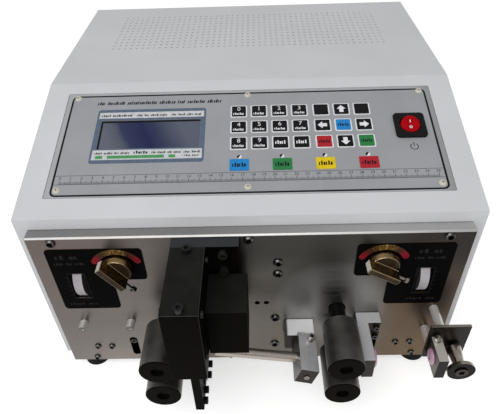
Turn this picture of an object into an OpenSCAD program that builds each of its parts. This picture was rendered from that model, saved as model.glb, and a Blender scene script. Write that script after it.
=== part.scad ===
// Bench machine that feeds a wire, cuts it to length and strips its ends.
// Everything is drawn from a datum on the front plate: its front face is y = 0, its bottom edge z = 0 and its
// middle x = 0, with x to the right, y to the back and z up. place() moves it to the part's own origin, which
// is on the surface that the feet stand on, in the middle of the outer box.

/* [Cabinet] */
// Width over the side walls
cab_w = 420; // [410:1:450]
// Depth from the front plate's face to the back edge
cab_d = 400; // [390:1:450]
// Height of the flat top above the bottom edge
cab_h = 245; // [235:1:260]
// Height of the lip where the sloped panel starts
lip_h = 197.5; // [194:0.5:204]
// Distance from the plate's face to the crease above the slope
crease_y = 177; // [174:1:190]
// Thickness of the folded sheet
sheet = 1.5; // [1:0.1:2]
// Height of the rubber feet
foot_h = 12; // [8:1:20]
// Diameter of the rubber feet
foot_d = 29; // [22:1:36]
// Distance of the feet from the side walls
foot_inset = 32; // [25:1:60]
// Diameter of a vent hole
vent_d = 2.8; // [2:0.1:4]
// Distance between vent holes across the top
vent_pitch_x = 7; // [6:0.5:8]
// Distance between vent holes along the depth
vent_pitch_y = 9; // [7:0.5:10]
// Height of the side flanges of the base pan
pan_flange = 20; // [10:1:30]

/* [Front plate] */
// Thickness of the front plate
plate_t = 12; // [11:0.5:14]
// Height of the front plate
plate_h = 186; // [184:1:190]
// Width of the cabinet edge that shows beside the plate
plate_margin = 11.5; // [8:0.5:16]
// Diameter of the plate's screw heads
plate_screw_d = 7; // [6:0.5:8]
// Diameter of the larger screw heads along the top and beside the cutter head
large_screw_d = 9; // [7:0.5:10]
// Diameter of the two short posts at the left
post_d = 8; // [6:0.5:10]
// Length of the two short posts at the left
post_len = 10; // [6:1:20]

/* [Control panel] */
// Width of the panel recess
recess_w = 374; // [366:1:380]
// Length of the panel recess up the slope
recess_l = 133.5; // [132:0.5:136]
// Distance of the recess from the lip
recess_s = 22.5; // [20:0.5:24]
// Depth of the recess
recess_d = 1.5; // [1.3:0.1:2.5]
// Thickness of the printed overlay
overlay_t = 1.2; // [0.8:0.1:1.2]
// How far a key stands above the overlay
key_rise = 0.5; // [0.3:0.1:1]
// Width of a small key
key_w = 14; // [12:0.5:16]
// Distance between small keys
key_pitch = 20.3; // [19:0.1:21]
// Width of a large key
big_key_w = 18; // [14:0.5:24]
// Visible width of the display
lcd_w = 100; // [80:1:104]
// Visible height of the display
lcd_h = 37; // [30:1:40]
// Diameter of the round rocker
rocker_d = 18.4; // [16:0.2:20]
// Angle through which the rocker tips
rocker_tip = 18; // [10:1:24]

/* [Feed rollers] */
// Height of the wire line above the plate's bottom edge
wire_z = 60.5; // [58:0.5:62]
// Distance of the wire line in front of the plate
wire_y = 42; // [40:1:44]
// Distance of the rollers from the middle of the plate
roller_x = 85; // [84:0.5:87]
// Diameter of the rollers
roller_d = 34; // [30:0.5:35]
// Length of the rollers
roller_len = 48; // [40:1:50]
// Gap between the plate and a roller
roller_gap = 22; // [18:1:26]
// Lift of the upper rollers
lift = 6; // [4:0.5:6.5]
// Gap that stays between the rollers when they are down
nip = 0.4; // [0.3:0.1:1]
// Diameter of the roller shafts
shaft_d = 12; // [10:0.5:13]
// Diameter of the shaft neck between plate and roller
neck_d = 15; // [14:0.5:17]

/* [Knobs and thumbwheels] */
// Distance of the knobs from the middle of the plate
knob_x = 121.5; // [121:0.5:125]
// Height of the knobs' axes
knob_z = 150; // [148:0.5:155]
// Diameter of the fixed collar
collar_d = 26; // [22:0.5:30]
// Length of the fixed collar
collar_len = 3.5; // [2:0.5:8]
// Diameter of the knob at its back
knob_d = 30; // [24:0.5:32]
// Length of the knob's grip bar
grip_len = 32.4; // [28:0.1:36]
// Thickness of the grip bar
grip_t = 6; // [5:0.5:8]
// Radius of the thumbwheels
wheel_r = 24; // [23:0.5:24.5]
// Width of the thumbwheels
wheel_w = 8.5; // [8:0.5:11]
// Distance of the thumbwheels from the middle of the plate
wheel_x = 163; // [162:0.5:164]
// Height of the thumbwheels' axes
wheel_z = 123; // [121:0.5:125]

/* [Cutter head] */
// Reach of the cutter housing in front of the plate
head_reach = 85.4; // [84:0.2:92]
// Width of the cutter housing
head_w = 30.5; // [30:0.5:33]
// Height of the top of the cutter head
head_top = 184; // [182:1:190]
// Height of the bottom edge of the housing
head_bottom = 97; // [92:1:100]
// Thickness of the housing's walls
head_wall = 4; // [3:0.5:4]
// Throw of the crank pins
crank_e = 7; // [6:0.1:7.2]
// Diameter of the crank pins
crank_pin_d = 4; // [3:0.5:4.5]
// Width of the blades
blade_w = 20; // [16:1:22]
// Thickness of the blades
blade_t = 1.8; // [1.4:0.1:2.2]
// Height of the swing solenoid's bottom
coil_bottom = 91.5; // [88:0.5:96]

/* [Conduit] */
// Outer diameter of the conduit tube
tube_d = 10; // [9.5:0.5:12]
// Bore of the conduit tube
tube_bore = 7; // [5:0.5:8]
// Length of the tube from the swing block's axis
tube_len = 87; // [80:1:90]
// Angle at which the tube is held up
swing = 10.6; // [6:0.2:12]
// Distance of the swing block's axis from the middle of the plate
swing_x = 51; // [49:0.5:52]

/* [Wire guides] */
// Bore of the ceramic eyelets
eyelet_bore = 7; // [5:0.5:8]
// Diameter of the eyelets' flanges
eyelet_d = 16; // [14:0.5:18]
// Diameter of the spool's flanges
spool_d = 26; // [22:1:26]
// Diameter of the spool's waist
waist_d = 10.5; // [9:0.5:14]
// Diameter of the spool's back end
spool_back_d = 15; // [12:0.5:18]
// Diameter of the guide posts
guide_post_d = 8.5; // [8:0.5:12]

/* [Hidden] */
$fn = 48;
run = 0.05;
gap = 0.3;
eps = 0.01;
over = 1;

// The part's origin
plate_y = (head_reach - cab_d) / 2;

// Cabinet
slope = atan((cab_h - lip_h) / (crease_y - plate_t));
inner_w = cab_w - 2 * sheet;
plate_w = cab_w - 2 * plate_margin;
flange_w = 10;
rear_inset = 4;
rear_y = cab_d - rear_inset;
vent_w = 322;
vent_l = 99;
vent_back = 36;
foot_back = 10;
foot_taper = 1;
foot_front = 3;
foot_y = [plate_t + foot_front, cab_d - foot_d / 2 - foot_back];

// Front plate: screws, and slots with a clamp screw in each
screw_shank = 4;
screw_depth = 8;
screw_rim = 1.2;
screw_dome = 1.4;
plate_edge = 1.5;
large_spots = [[-176, 180], [0, 180], [176, 180], [26, 150.5], [26, 135.4], [23.5, 69.4], [23.3, 25.8]];
small_spots = [[37.7, 26.9], [-167, 25.5], [167, 25.5], [-152, 25], [152, 25], [-172, 5.5], [172, 5.5]];
screw_spots = concat(large_spots, small_spots);
bare_holes = [[5.9, 93.4], [15, 93.4]];
bare_hole_d = 5;
slot_x = 127;
slot_z = [9, 40];
slot_w = 8;
slot_screw_z = 33;
slot_floor = 2;
slot_head = 4;
slot_rise = 6;
post_spots = [[-172, 68], [-123.5, 68]];

// Control panel, measured up the slope from the lip
tray_lip = 4;
overlay_play = 0.5;
tray_ledge = [14, 17.5, 13];
tray_open = [recess_w - 2 * tray_ledge[0], recess_l - tray_ledge[1] - tray_ledge[2]];
tray_open_s = recess_s + tray_ledge[1];
recess_r = 1.5;
panel_screw_edge = [11, 9.2, 7];
panel_screw_x = [-recess_w / 2 + panel_screw_edge[0], 0, recess_w / 2 - panel_screw_edge[0]];
panel_screw_s = [recess_s + panel_screw_edge[1], recess_s + recess_l - panel_screw_edge[2]];
panel_shank = 3;
panel_screw_len = 5;
panel_head = [7, 4.5, 1.6];
panel_cross = [2.8, 0.7, 0.7];
lcd_in = [90, 76];
lcd_x = -recess_w / 2 + lcd_in[0];
lcd_s = recess_s + lcd_in[1];
lcd_rim = 5;
lcd_depth = 10.5;
pad_x = -8.9;
pad_gap = 82.7;
pad_in = 61.1;
pad_s = recess_s + pad_in;
row_pitch = 21;
key_l = 13.5;
key_r = 0.8;
big_key_in = 34.5;
big_key_s = recess_s + big_key_in;
big_key_x = -8.2;
big_key_pitch = 40.5;
switch_in = [28.5, 78.5];
switch_x = recess_w / 2 - switch_in[0];
switch_s = recess_s + switch_in[1];
switch_bezel = [30, 31, 2.5];
switch_body = [25.8, 26.8, 28];
switch_r = 4;
rocker_well = 8;
rocker_rise = 3;
rocker_axle = 2.4;
rocker_clear = 0.9;
axle_in = 2.5;
pcb = [92, 1.6];
pcb_in = [34, 8.6, 69.5];
pcb_x = [-recess_w / 2 + pcb_in[0], switch_x - switch_body[0] / 2 - pcb_in[1]];
pcb_s = recess_s + pcb_in[2];

// Feed rollers
lower_z = wire_z - roller_d / 2;
upper_z = wire_z + roller_d / 2 + lift;
roller_y = [-roller_gap - roller_len, -roller_gap];
shaft_front = 4;
bearing_d = 24;
bearing_groove = [0.6, 3, 4];
roller_edge = 0.8;
neck_play = 1.4;
collar_w = 3;
motor_w = 57;
motor_len = 56;
motor_y = 40;
motor_shaft = 8;
motor_shaft_in = 20;
pilot = [38, 1.6];
bracket_t = 4;
bracket_foot = 40;
bracket_side = 4;
bracket_sole = 3;
hub_d = 20;
hub_len = 12;
hub_gap = 2;
motor_bore_end = 2;
motor_corner = 1.32;

// Lifting arms behind the plate, driven by an eccentric pin on each knob
arm_t = 10;
arm_gap = 0.5;
arm_y = [plate_t + arm_gap, plate_t + arm_gap + arm_t];
arm_limb = [knob_x - 13, knob_x + 17];
arm_top = knob_z + 13;
arm_boss = 13;
arm_foot_top = upper_z + 14.5;
guide_w = 6.7;
guide_z = [arm_foot_top + 8, arm_top + 1.5];
guide_lip = 4;
guide_t = 3;
pin_way = [-2, 3];
web_play = 0.5;
arm_travel = lift - nip;
ecc = arm_travel / 2 / sin(45);
ecc_pin = 6;
web_edge = 0.75;
web_d = 2 * ecc + ecc_pin + 2 * web_edge;
web_t = 3;
knob_shaft = 10;
knob_body = 5.4;
knob_taper = 3;
knob_front = -collar_len - gap - knob_body;
grip_rise = 12.3;
grip_shift = -3.4;
grip_turn = [55, 30];
knob_screw_d = 3;
knob_screw_len = 9;
knob_screw_in = 8;
knob_screw_rise = 3.2;
knob_screw_head = [6, 3];

// Thumbwheels
wheel_proud = 4;
wheel_y = wheel_r - wheel_proud;
wheel_axle = 6;
window = [15.5, 35];
pocket_skin = 3;
pocket = [22, 2 * wheel_r + 6];
ear_t = 4;
ear_gap = wheel_w + 3;
ear_back = 8;
ear_foot = 6;

// Dial plates: an L of two rectangles
dial_t = 0.6;
dial_top = [96.7, 185, 131.5, 172];
dial_low = [129.6, 185, 90, 131.5];
dial_r = 4;

// Cutter head
head_left = -68;
head_x = [head_left, head_left + head_w];
crank_x = (head_x[0] + head_x[1]) / 2;
crank_z = 140;
base_t = 12;
base_right = -8.5;
crank_turn = 45;
crank_shaft = 8;
shaft_room = 1;
disc_gap = 2;
carrier_t = 5.5;
carrier_gap = 0.5;
blade_travel = crank_e * sin(crank_turn);
disc_d = 2 * crank_e + crank_pin_d + 2 * shaft_room;
disc_t = 5;
disc_y = -base_t - disc_gap - disc_t;
upper_y = [disc_y - 2 * carrier_gap - carrier_t, disc_y - 2 * carrier_gap];
lower_y = [upper_y[0] - carrier_gap - carrier_t, upper_y[0] - carrier_gap];
carrier_w = head_w - 2 * head_wall - 2 * gap;
carrier_top = crank_z + 22;
pin_play = 0.3;
fin_t = 8;
fin_side = -0.75;
fin_play = 0.4;
fin_x = [crank_x + fin_side, crank_x + fin_side + fin_t];
fin_front = -head_reach + head_wall + fin_play;
fin_bottom = 37.5;
foot_drop = 10.5;
foot_back_y = 14;
foot_top = wire_z - foot_drop;
limb_w = 15;
upper_rise = 9;
upper_reach = 16;
upper_blade_len = 30;
blade_play = 0.2;
upper_foot = wire_z + upper_rise;
arm_x1 = fin_x[1] + blade_t + blade_play;
blade_y = [-wire_y - blade_w / 2, -wire_y + blade_w / 2];
notch = 2.25;
notch_half = 6;
blade_gap = blade_travel - blade_play;
cap_d = 8.5;
cap_h = 5;
cap_shank = 5;
top_screw_y = [-17, -head_reach + 5];
base_bolt_depth = 8;
base_bolt_x = -22.6;
base_bolt_z = [156, 176.5];
side_screw_spots = [[-20, 176], [-head_reach + 8, 176], [-head_reach + 8, 120]];
foot_screw_y = [-36, -48, -64, -75];
foot_screw_z = 44;
foot_screw = [7, 3.6, 4];
foot_screw_in = 7.2;
side_screw = [6, 2.5, 3, 2];
blade_lift = 2;
plate_drop = [8, 15, 16];

// Swing solenoid
coil_x = [head_x[1], -2];
coil_y = [-56, -base_t];
coil_top = 150;
plunger_x = -20;
plunger_d = 7;
plunger_up = 30;
plunger_room = 14;
hook_d = 3;
hook_reach = 1.5;
hook_end = 1.5;
hook_play = [0.6, 0.3];
plunger_y = -wire_y + tube_d / 2 + hook_play[0] + plunger_d / 2;

// Conduit
swing_w = 18;
swing_h = 21;
swing_y = [-62, -20.3];
swing_lean = 6.7;
pivot_d = 8;
pivot_in = 15;
base_x = [32.5, 62];
base_y0 = -20;
base_z = [45, 67];
base_round = 5;
base_w = base_x[1] - base_x[0];
base_h = base_z[1] - base_z[0];
tube_lift_z = wire_z + (swing_x - plunger_x) * tan(swing);
hook_z = tube_lift_z - (tube_d / 2 + hook_play[1] + hook_d / 2) / cos(swing);
tube_in = 4;
swing_screw = [7, 6, 4, 5];
swing_screw_x = 2.9;
swing_screw_y = -27;
face_screw = [5, 1.5, 3, 8];

// Wire guides at the right
inlet_x = [104, 115, 128];
inlet_y = [-55.5, -13];
inlet_z = [48, 76];
eyelet_sleeve = 11;
eyelet_flange = 2.5;
inlet_flange = [20.5, 4];
inlet_screw = [6, 3.5, 3, 8];
inlet_screw_x = inlet_x[2] - 4.5;
inlet_screw_z = [inlet_z[0] + 8, inlet_z[1] - 6.5];
bar_x = [172.5, 182];
bar_y = [-57.5, -30];
bar_z = [48, 75.5];
plate2_x = [170, 208];
plate2_z = [42, 90];
plate2_t = 3;
guide_post_spots = [[181, 82], [178, 50]];
spool_x = 196.3;
spool_z = 59;
spool_y = [-58, -33];
spool_rim = 3.5;
spool_flare = 4;
spool_axle = 6;
spool_stud = 5;
spool_cap = 12;
cap_sink = 1.5;
bar_mid = (bar_x[0] + bar_x[1]) / 2;
bar_screw_y = -34.5;
bar_screw = [7, 5, 3, 3];

// Inside the cabinet
supply = [160, 98, 42];
supply_x = -150;
supply_gap = 26.5;
supply_y = rear_y - sheet - supply_gap - supply[1];
supply_slots = 9;
supply_slot = [4, 15, 1.5];
inlet_side = 60;
inlet_at = [cab_w / 2 - inlet_side, 45];
inlet_size = [27, 47, 24];
inlet_rim = [34, 56, 2.5];
inlet_r = 3;
inlet_socket = [22, 18, 16];

// Shared shapes
module place() translate([0, plate_y, foot_h]) children();

module on_slope() translate([0, plate_t, lip_h]) rotate([slope, 0, 0]) children();

module side(s) mirror([s < 0 ? 1 : 0, 0, 0]) children();

module along_y(y0, y1, d) translate([0, y0, 0]) rotate([-90, 0, 0]) cylinder(d = d, h = y1 - y0);

module along_x(x0, x1, d) translate([x0, 0, 0]) rotate([0, 90, 0]) cylinder(d = d, h = x1 - x0);

// Range of half-width h about c
function about(c, h) = [c - h, c + h];

module block(x, y, z) translate([x[0], y[0], z[0]]) cube([x[1] - x[0], y[1] - y[0], z[1] - z[0]]);

module round_rect(w, h, r) {
    square([w - 2 * r, h], center = true);
    square([w, h - 2 * r], center = true);
    for (x = [-1, 1], y = [-1, 1])
        translate([x * (w / 2 - r), y * (h / 2 - r)]) circle(r);
}

module profile_x(w) translate([-w / 2, 0, 0]) rotate([90, 0, 90]) linear_extrude(w) children();

module slot_y(y0, y1, d, z0, z1) {
    for (z = [z0, z1]) translate([0, 0, z]) along_y(y0, y1, d);
    block([-d / 2, d / 2], [y0, y1], [z0, z1]);
}

// Socket screw with its seat at z = 0 and its shank below
module socket_screw(head_d, head_h, shank, depth) {
    difference() {
        cylinder(d = head_d, h = head_h);
        translate([0, 0, head_h / 2]) cylinder(d = head_d / 2, h = head_h, $fn = 6);
    }
    translate([0, 0, -depth]) cylinder(d = shank, h = depth + eps);
}

// Button screw with a domed head on the front plate
module button_screw(d) rotate([90, 0, 0]) {
    difference() {
        union() {
            cylinder(d = d, h = screw_rim);
            translate([0, 0, screw_rim])
                cylinder(d1 = d, d2 = d - 2 * screw_dome, h = screw_dome);
        }
        translate([0, 0, screw_rim])
            cylinder(d = d - 2 * screw_dome - over, h = 2 * screw_dome, $fn = 6);
    }
    translate([0, 0, -screw_depth]) cylinder(d = screw_shank, h = screw_depth + eps);
}

// Cabinet
module cover_profile(t) {
    drop = t / cos(slope);
    front = plate_t + t;
    back = t > 0 ? cab_d + over : cab_d;
    top = cab_h - t;
    crease = plate_t + (top - lip_h + drop) / tan(slope);
    foot = t > 0 ? -over : 0;
    lip = lip_h + t * tan(slope) - drop;
    polygon([[front, foot], [front, lip], [crease, top], [back, top], [back, foot]]);
}

module cabinet_cover() color([0.8, 0.8, 0.81]) difference() {
    union() {
        difference() {
            profile_x(cab_w) cover_profile(0);
            profile_x(inner_w) cover_profile(sheet);
        }
        on_slope() translate([0, recess_s + recess_l / 2, -recess_d - sheet]) linear_extrude(sheet + eps)
            square([recess_w + 2 * tray_lip, recess_l + 2 * tray_lip], center = true);
        on_slope() translate([0, recess_s + recess_l / 2, -recess_d]) linear_extrude(recess_d - sheet / 2)
            square([recess_w + 2 * sheet, recess_l + 2 * sheet], center = true);
    }
    on_slope() translate([0, recess_s + recess_l / 2, -recess_d]) linear_extrude(recess_d + over)
        round_rect(recess_w, recess_l, recess_r);
    on_slope() translate([0, tray_open_s + tray_open[1] / 2, -recess_d - sheet - over])
        linear_extrude(recess_d + sheet + 2 * over)
        square(tray_open, center = true);
    on_slope() panel_holes();
    block([-plate_w / 2 + flange_w, plate_w / 2 - flange_w], [plate_t - over, plate_t + sheet + over],
        [-over, plate_h - flange_w]);
    vent_holes();
}

module vent_holes() {
    nx = floor(vent_w / vent_pitch_x);
    ny = floor(vent_l / vent_pitch_y);
    translate([-nx * vent_pitch_x / 2, cab_d - vent_back - ny * vent_pitch_y, cab_h - 2 * sheet])
        linear_extrude(3 * sheet) for (i = [0 : nx], j = [0 : ny])
            translate([i * vent_pitch_x, j * vent_pitch_y]) circle(d = vent_d, $fn = 16);
}

module panel_holes() for (x = panel_screw_x, s = panel_screw_s)
    translate([x, s, -recess_d - sheet - over]) cylinder(d = panel_shank, h = recess_d + sheet + 2 * over);

module base_pan() color([0.7, 0.71, 0.72]) {
    block([-inner_w / 2, inner_w / 2], [plate_t + sheet, rear_y - sheet], [0, sheet]);
    for (s = [-1, 1]) side(s)
        block([inner_w / 2 - sheet, inner_w / 2], [plate_t + sheet, rear_y - sheet], [0, pan_flange]);
}

module rear_panel() color([0.78, 0.78, 0.79]) difference() {
    block([-inner_w / 2, inner_w / 2], [rear_y - sheet, rear_y], [0, cab_h - sheet]);
    translate([inlet_at[0], rear_y, inlet_at[1]]) rotate([90, 0, 0]) translate([0, 0, -over])
        linear_extrude(sheet + 2 * over) square([inlet_size[0], inlet_size[1]], center = true);
}

module rubber_feet() color([0.06, 0.06, 0.06]) for (s = [-1, 1], y = foot_y)
    translate([s * (cab_w / 2 - foot_inset), y, -foot_h]) difference() {
        cylinder(d1 = foot_d - foot_taper, d2 = foot_d, h = foot_h);
        translate([0, 0, -over]) cylinder(d = foot_d / 3, h = foot_h / 2);
    }

// Front plate
module front_plate() color([0.66, 0.65, 0.63]) difference() {
    translate([-plate_w / 2, 0, 0]) rotate([90, 0, 90]) linear_extrude(plate_w)
        polygon([[0, 0], [0, plate_h - plate_edge], [plate_edge, plate_h], [plate_t, plate_h], [plate_t, 0]]);
    for (s = [-1, 1]) side(s) {
        translate([roller_x, 0, lower_z]) along_y(-over, plate_t + over, bearing_d);
        translate([roller_x, 0, 0])
            slot_y(-over, plate_t + over, neck_d + neck_play, upper_z - lift, upper_z);
        translate([knob_x, 0, knob_z]) along_y(-over, plate_t + over, knob_shaft + 2 * run);
        translate([knob_x, 0, knob_z]) along_y(plate_t - web_t - gap, plate_t + over, web_d + 2 * web_play);
        block([wheel_x - window[0] / 2, wheel_x + window[0] / 2], [-over, plate_t],
            [wheel_z - window[1] / 2, wheel_z + window[1] / 2]);
        block([wheel_x - pocket[0] / 2, wheel_x + pocket[0] / 2], [pocket_skin, plate_t + over],
            [wheel_z - pocket[1] / 2, wheel_z + pocket[1] / 2]);
        translate([slot_x, 0, 0])
            slot_y(-over, plate_t - slot_floor, slot_w, slot_z[0] + slot_w / 2, slot_z[1] - slot_w / 2);
        translate([slot_x, 0, slot_screw_z]) along_y(0, plate_t - slot_floor / 2, screw_shank);
    }
    translate([crank_x, 0, crank_z]) along_y(-over, plate_t + over, crank_shaft + 2 * shaft_room);
    for (p = screw_spots) translate([p[0], 0, p[1]]) along_y(-over, screw_depth, screw_shank);
    for (p = bare_holes) translate([p[0], 0, p[1]]) along_y(-over, screw_depth, bare_hole_d);
}

module plate_screws() color([0.72, 0.72, 0.72]) {
    for (p = large_spots) translate([p[0], 0, p[1]]) button_screw(large_screw_d);
    for (p = small_spots) translate([p[0], 0, p[1]]) button_screw(plate_screw_d);
    for (s = [-1, 1]) translate([s * slot_x, plate_t - slot_floor - slot_rise, slot_screw_z])
        rotate([90, 0, 0])
            socket_screw(slot_w - 2 * web_play, slot_head, screw_shank, slot_rise + slot_floor / 2);
    for (z = inlet_screw_z) translate([inlet_screw_x, inlet_y[1], z]) rotate([90, 0, 0])
        socket_screw(inlet_screw[0], inlet_screw[1], inlet_screw[2], inlet_screw[3]);
}

// Short posts at the left and long posts of the wire guide at the right
module guide_posts() color([0.68, 0.68, 0.68]) {
    for (p = post_spots) translate([p[0], 0, p[1]]) difference() {
        along_y(-post_len, 0, post_d);
        along_y(-post_len - over, -post_len + post_d / 2, post_d / 2);
    }
    for (p = guide_post_spots) translate([p[0], 0, p[1]])
        along_y(bar_y[1] + plate2_t, 0, guide_post_d);
}

// Control panel
module keypad_overlay() color([0.58, 0.59, 0.61]) on_slope() difference() {
    union() {
        translate([0, recess_s + recess_l / 2, -recess_d]) linear_extrude(overlay_t)
            round_rect(recess_w - 2 * overlay_play, recess_l - 2 * overlay_play, recess_r - overlay_play);
        translate([0, 0, overlay_t - recess_d - eps]) linear_extrude(key_rise + eps) key_shapes();
    }
    translate([0, 0, -recess_d - over]) linear_extrude(overlay_t + 2 * over) {
        translate([lcd_x, lcd_s]) square([lcd_w, lcd_h], center = true);
        translate([switch_x, switch_s]) square([switch_body[0], switch_body[1]], center = true);
    }
    panel_holes();
}

module key_shapes() {
    for (c = [0 : 6], r = [0 : 2]) translate([pad_x + (c < 4 ? c * key_pitch : pad_gap + (c - 4) * key_pitch),
        pad_s + r * row_pitch]) round_rect(key_w, key_l, key_r);
    for (c = [0 : 3]) translate([big_key_x + c * big_key_pitch, big_key_s])
        round_rect(big_key_w, key_l, key_r);
}

module lcd_module() color([0.3, 0.34, 0.45]) on_slope() {
    translate([lcd_x, lcd_s, -recess_d - lcd_depth]) linear_extrude(lcd_depth)
        square([lcd_w + 2 * lcd_rim, lcd_h + 2 * lcd_rim], center = true);
    translate([lcd_x, lcd_s, -recess_d - eps]) linear_extrude(overlay_t / 2)
        square([lcd_w, lcd_h], center = true);
}

module panel_screws() color([0.85, 0.83, 0.76]) on_slope()
    for (x = panel_screw_x, s = panel_screw_s) translate([x, s, overlay_t - recess_d]) {
        difference() {
            cylinder(d1 = panel_head[0], d2 = panel_head[1], h = panel_head[2]);
            for (a = [0, 90]) rotate(a) translate([0, 0, panel_head[2]])
                cube([panel_cross[0], panel_cross[1], 2 * panel_cross[2]], center = true);
        }
        translate([0, 0, -panel_screw_len]) cylinder(d = panel_shank, h = panel_screw_len + eps);
    }

module switch_housing() color([0.08, 0.08, 0.08]) on_slope()
    translate([switch_x, switch_s, overlay_t - recess_d]) difference() {
        union() {
            linear_extrude(switch_bezel[2]) round_rect(switch_bezel[0], switch_bezel[1], switch_r);
            translate([0, 0, -switch_body[2]]) linear_extrude(switch_body[2] + eps)
                square([switch_body[0], switch_body[1]], center = true);
        }
        translate([0, 0, -rocker_well])
            cylinder(d = rocker_d + 2 * rocker_clear, h = rocker_well + switch_bezel[2] + over);
        along_x(-rocker_d / 2 - axle_in - gap, rocker_d / 2 + axle_in + gap, rocker_axle + 2 * run);
    }

module switch_rocker() color([0.75, 0.08, 0.1]) on_slope()
    translate([switch_x, switch_s, overlay_t - recess_d]) rotate([rocker_tip / 2, 0, 0]) {
        wing = rocker_d * tan(rocker_tip / 2);
        intersection() {
            translate([0, 0, -rocker_rise]) cylinder(d = rocker_d, h = 2 * rocker_rise + rocker_d);
            profile_x(2 * rocker_d) polygon([[-rocker_d, -rocker_rise], [-rocker_d, rocker_rise + wing],
                [0, rocker_rise], [rocker_d, rocker_rise + wing], [rocker_d, -rocker_rise]]);
        }
        along_x(-rocker_d / 2 - axle_in, rocker_d / 2 + axle_in, rocker_axle);
    }

module control_board() color([0.1, 0.35, 0.2]) on_slope()
    block(pcb_x, about(pcb_s, pcb[0] / 2), [-recess_d - lcd_depth - pcb[1], -recess_d - lcd_depth]);

// Inside the cabinet
module power_supply() color([0.6, 0.62, 0.62])
    translate([supply_x, supply_y, sheet]) difference() {
        cube(supply);
        for (i = [1 : supply_slots])
            block(about(i * supply[0] / (supply_slots + 1), supply_slot[0] / 2),
                [supply_slot[1], supply[1] - supply_slot[1]], [supply[2] - supply_slot[2], supply[2] + over]);
    }

module power_inlet() color([0.07, 0.07, 0.07]) translate([inlet_at[0], rear_y, inlet_at[1]])
    rotate([-90, 0, 0]) difference() {
        union() {
            translate([0, 0, -inlet_size[2]]) linear_extrude(inlet_size[2] + eps)
                square([inlet_size[0], inlet_size[1]], center = true);
            linear_extrude(inlet_rim[2]) round_rect(inlet_rim[0], inlet_rim[1], inlet_r);
        }
        translate([0, 0, -inlet_socket[2]]) linear_extrude(inlet_socket[2] + inlet_rim[2] + over)
            round_rect(inlet_socket[0], inlet_socket[1], inlet_r);
    }

module feed_motors() color([0.12, 0.12, 0.13]) for (s = [-1, 1]) side(s)
    translate([roller_x, motor_y, lower_z]) stepper(motor_shaft_in + motor_bore_end, motor_shaft + 2 * run);

module cutter_motor() color([0.12, 0.12, 0.13]) translate([crank_x, plate_t, crank_z])
    stepper(motor_shaft_in + motor_bore_end, crank_shaft + 2 * run, 0);

// Stepper motor with its front face at y = 0 and a bore that takes the driven shaft
module stepper(bore_l, bore_d, nose = pilot[1]) difference() {
    union() {
        translate([0, motor_len, 0]) rotate([90, 0, 0]) linear_extrude(motor_len)
            intersection() {
                square(motor_w, center = true);
                rotate(45) square(motor_w * motor_corner, center = true);
            }
        if (nose > 0) along_y(-nose, eps, pilot[0]);
    }
    along_y(-nose - over, bore_l, bore_d);
}

module motor_brackets() color([0.7, 0.7, 0.72]) for (s = [-1, 1]) side(s) difference() {
    union() {
        block(about(roller_x, motor_w / 2 + bracket_side), [motor_y - bracket_t, motor_y],
            [sheet, lower_z + motor_w / 2 + bracket_side]);
        block(about(roller_x, motor_w / 2 + bracket_side), [motor_y - bracket_t, motor_y + bracket_foot],
            [sheet, sheet + bracket_sole]);
    }
    translate([roller_x, 0, lower_z]) along_y(motor_y - bracket_t - over, motor_y + over, pilot[0] + 2 * run);
}

// Feed rollers and their shafts
module roller(z) translate([roller_x, 0, z]) difference() {
    union() {
        along_y(roller_y[0] + roller_edge, roller_y[1], roller_d);
        translate([0, roller_y[0] + roller_edge, 0]) rotate([90, 0, 0])
            cylinder(d1 = roller_d, d2 = roller_d - 2 * roller_edge, h = roller_edge);
    }
    along_y(roller_y[0] - over, roller_y[1] + over, shaft_d);
}

module upper_shaft() translate([roller_x, 0, upper_z]) {
    along_y(roller_y[0] + shaft_front, arm_y[1] + collar_w, shaft_d);
    along_y(roller_y[1], arm_y[0] - gap, neck_d);
    along_y(arm_y[1] + gap, arm_y[1] + collar_w, neck_d + collar_w);
}

module lower_shaft() translate([roller_x, 0, lower_z]) {
    hub_y = motor_y - bracket_t - hub_gap;
    along_y(roller_y[0] + shaft_front, hub_y - hub_len / 2, shaft_d);
    along_y(roller_y[1], -gap, neck_d);
    along_y(hub_y - hub_len, hub_y, hub_d);
    along_y(hub_y - hub_len / 2, motor_y + motor_shaft_in, motor_shaft);
}

module shaft_bearings() color([0.75, 0.75, 0.76]) for (s = [-1, 1]) side(s)
    translate([roller_x, 0, lower_z]) difference() {
        along_y(0, plate_t, bearing_d);
        along_y(-over, plate_t + over, shaft_d + 2 * run);
        translate([0, -eps, 0]) difference() {
            along_y(0, bearing_groove[0], bearing_d - bearing_groove[1]);
            along_y(-over, over, shaft_d + bearing_groove[2]);
        }
    }

module left_upper_shaft() color([0.15, 0.15, 0.16]) side(-1) upper_shaft();
module right_upper_shaft() color([0.15, 0.15, 0.16]) side(1) upper_shaft();
module left_lower_shaft() color([0.15, 0.15, 0.16]) side(-1) lower_shaft();
module right_lower_shaft() color([0.15, 0.15, 0.16]) side(1) lower_shaft();
module left_upper_roller() color([0.27, 0.28, 0.29]) side(-1) roller(upper_z);
module right_upper_roller() color([0.27, 0.28, 0.29]) side(1) roller(upper_z);
module left_lower_roller() color([0.27, 0.28, 0.29]) side(-1) roller(lower_z);
module right_lower_roller() color([0.27, 0.28, 0.29]) side(1) roller(lower_z);

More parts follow.
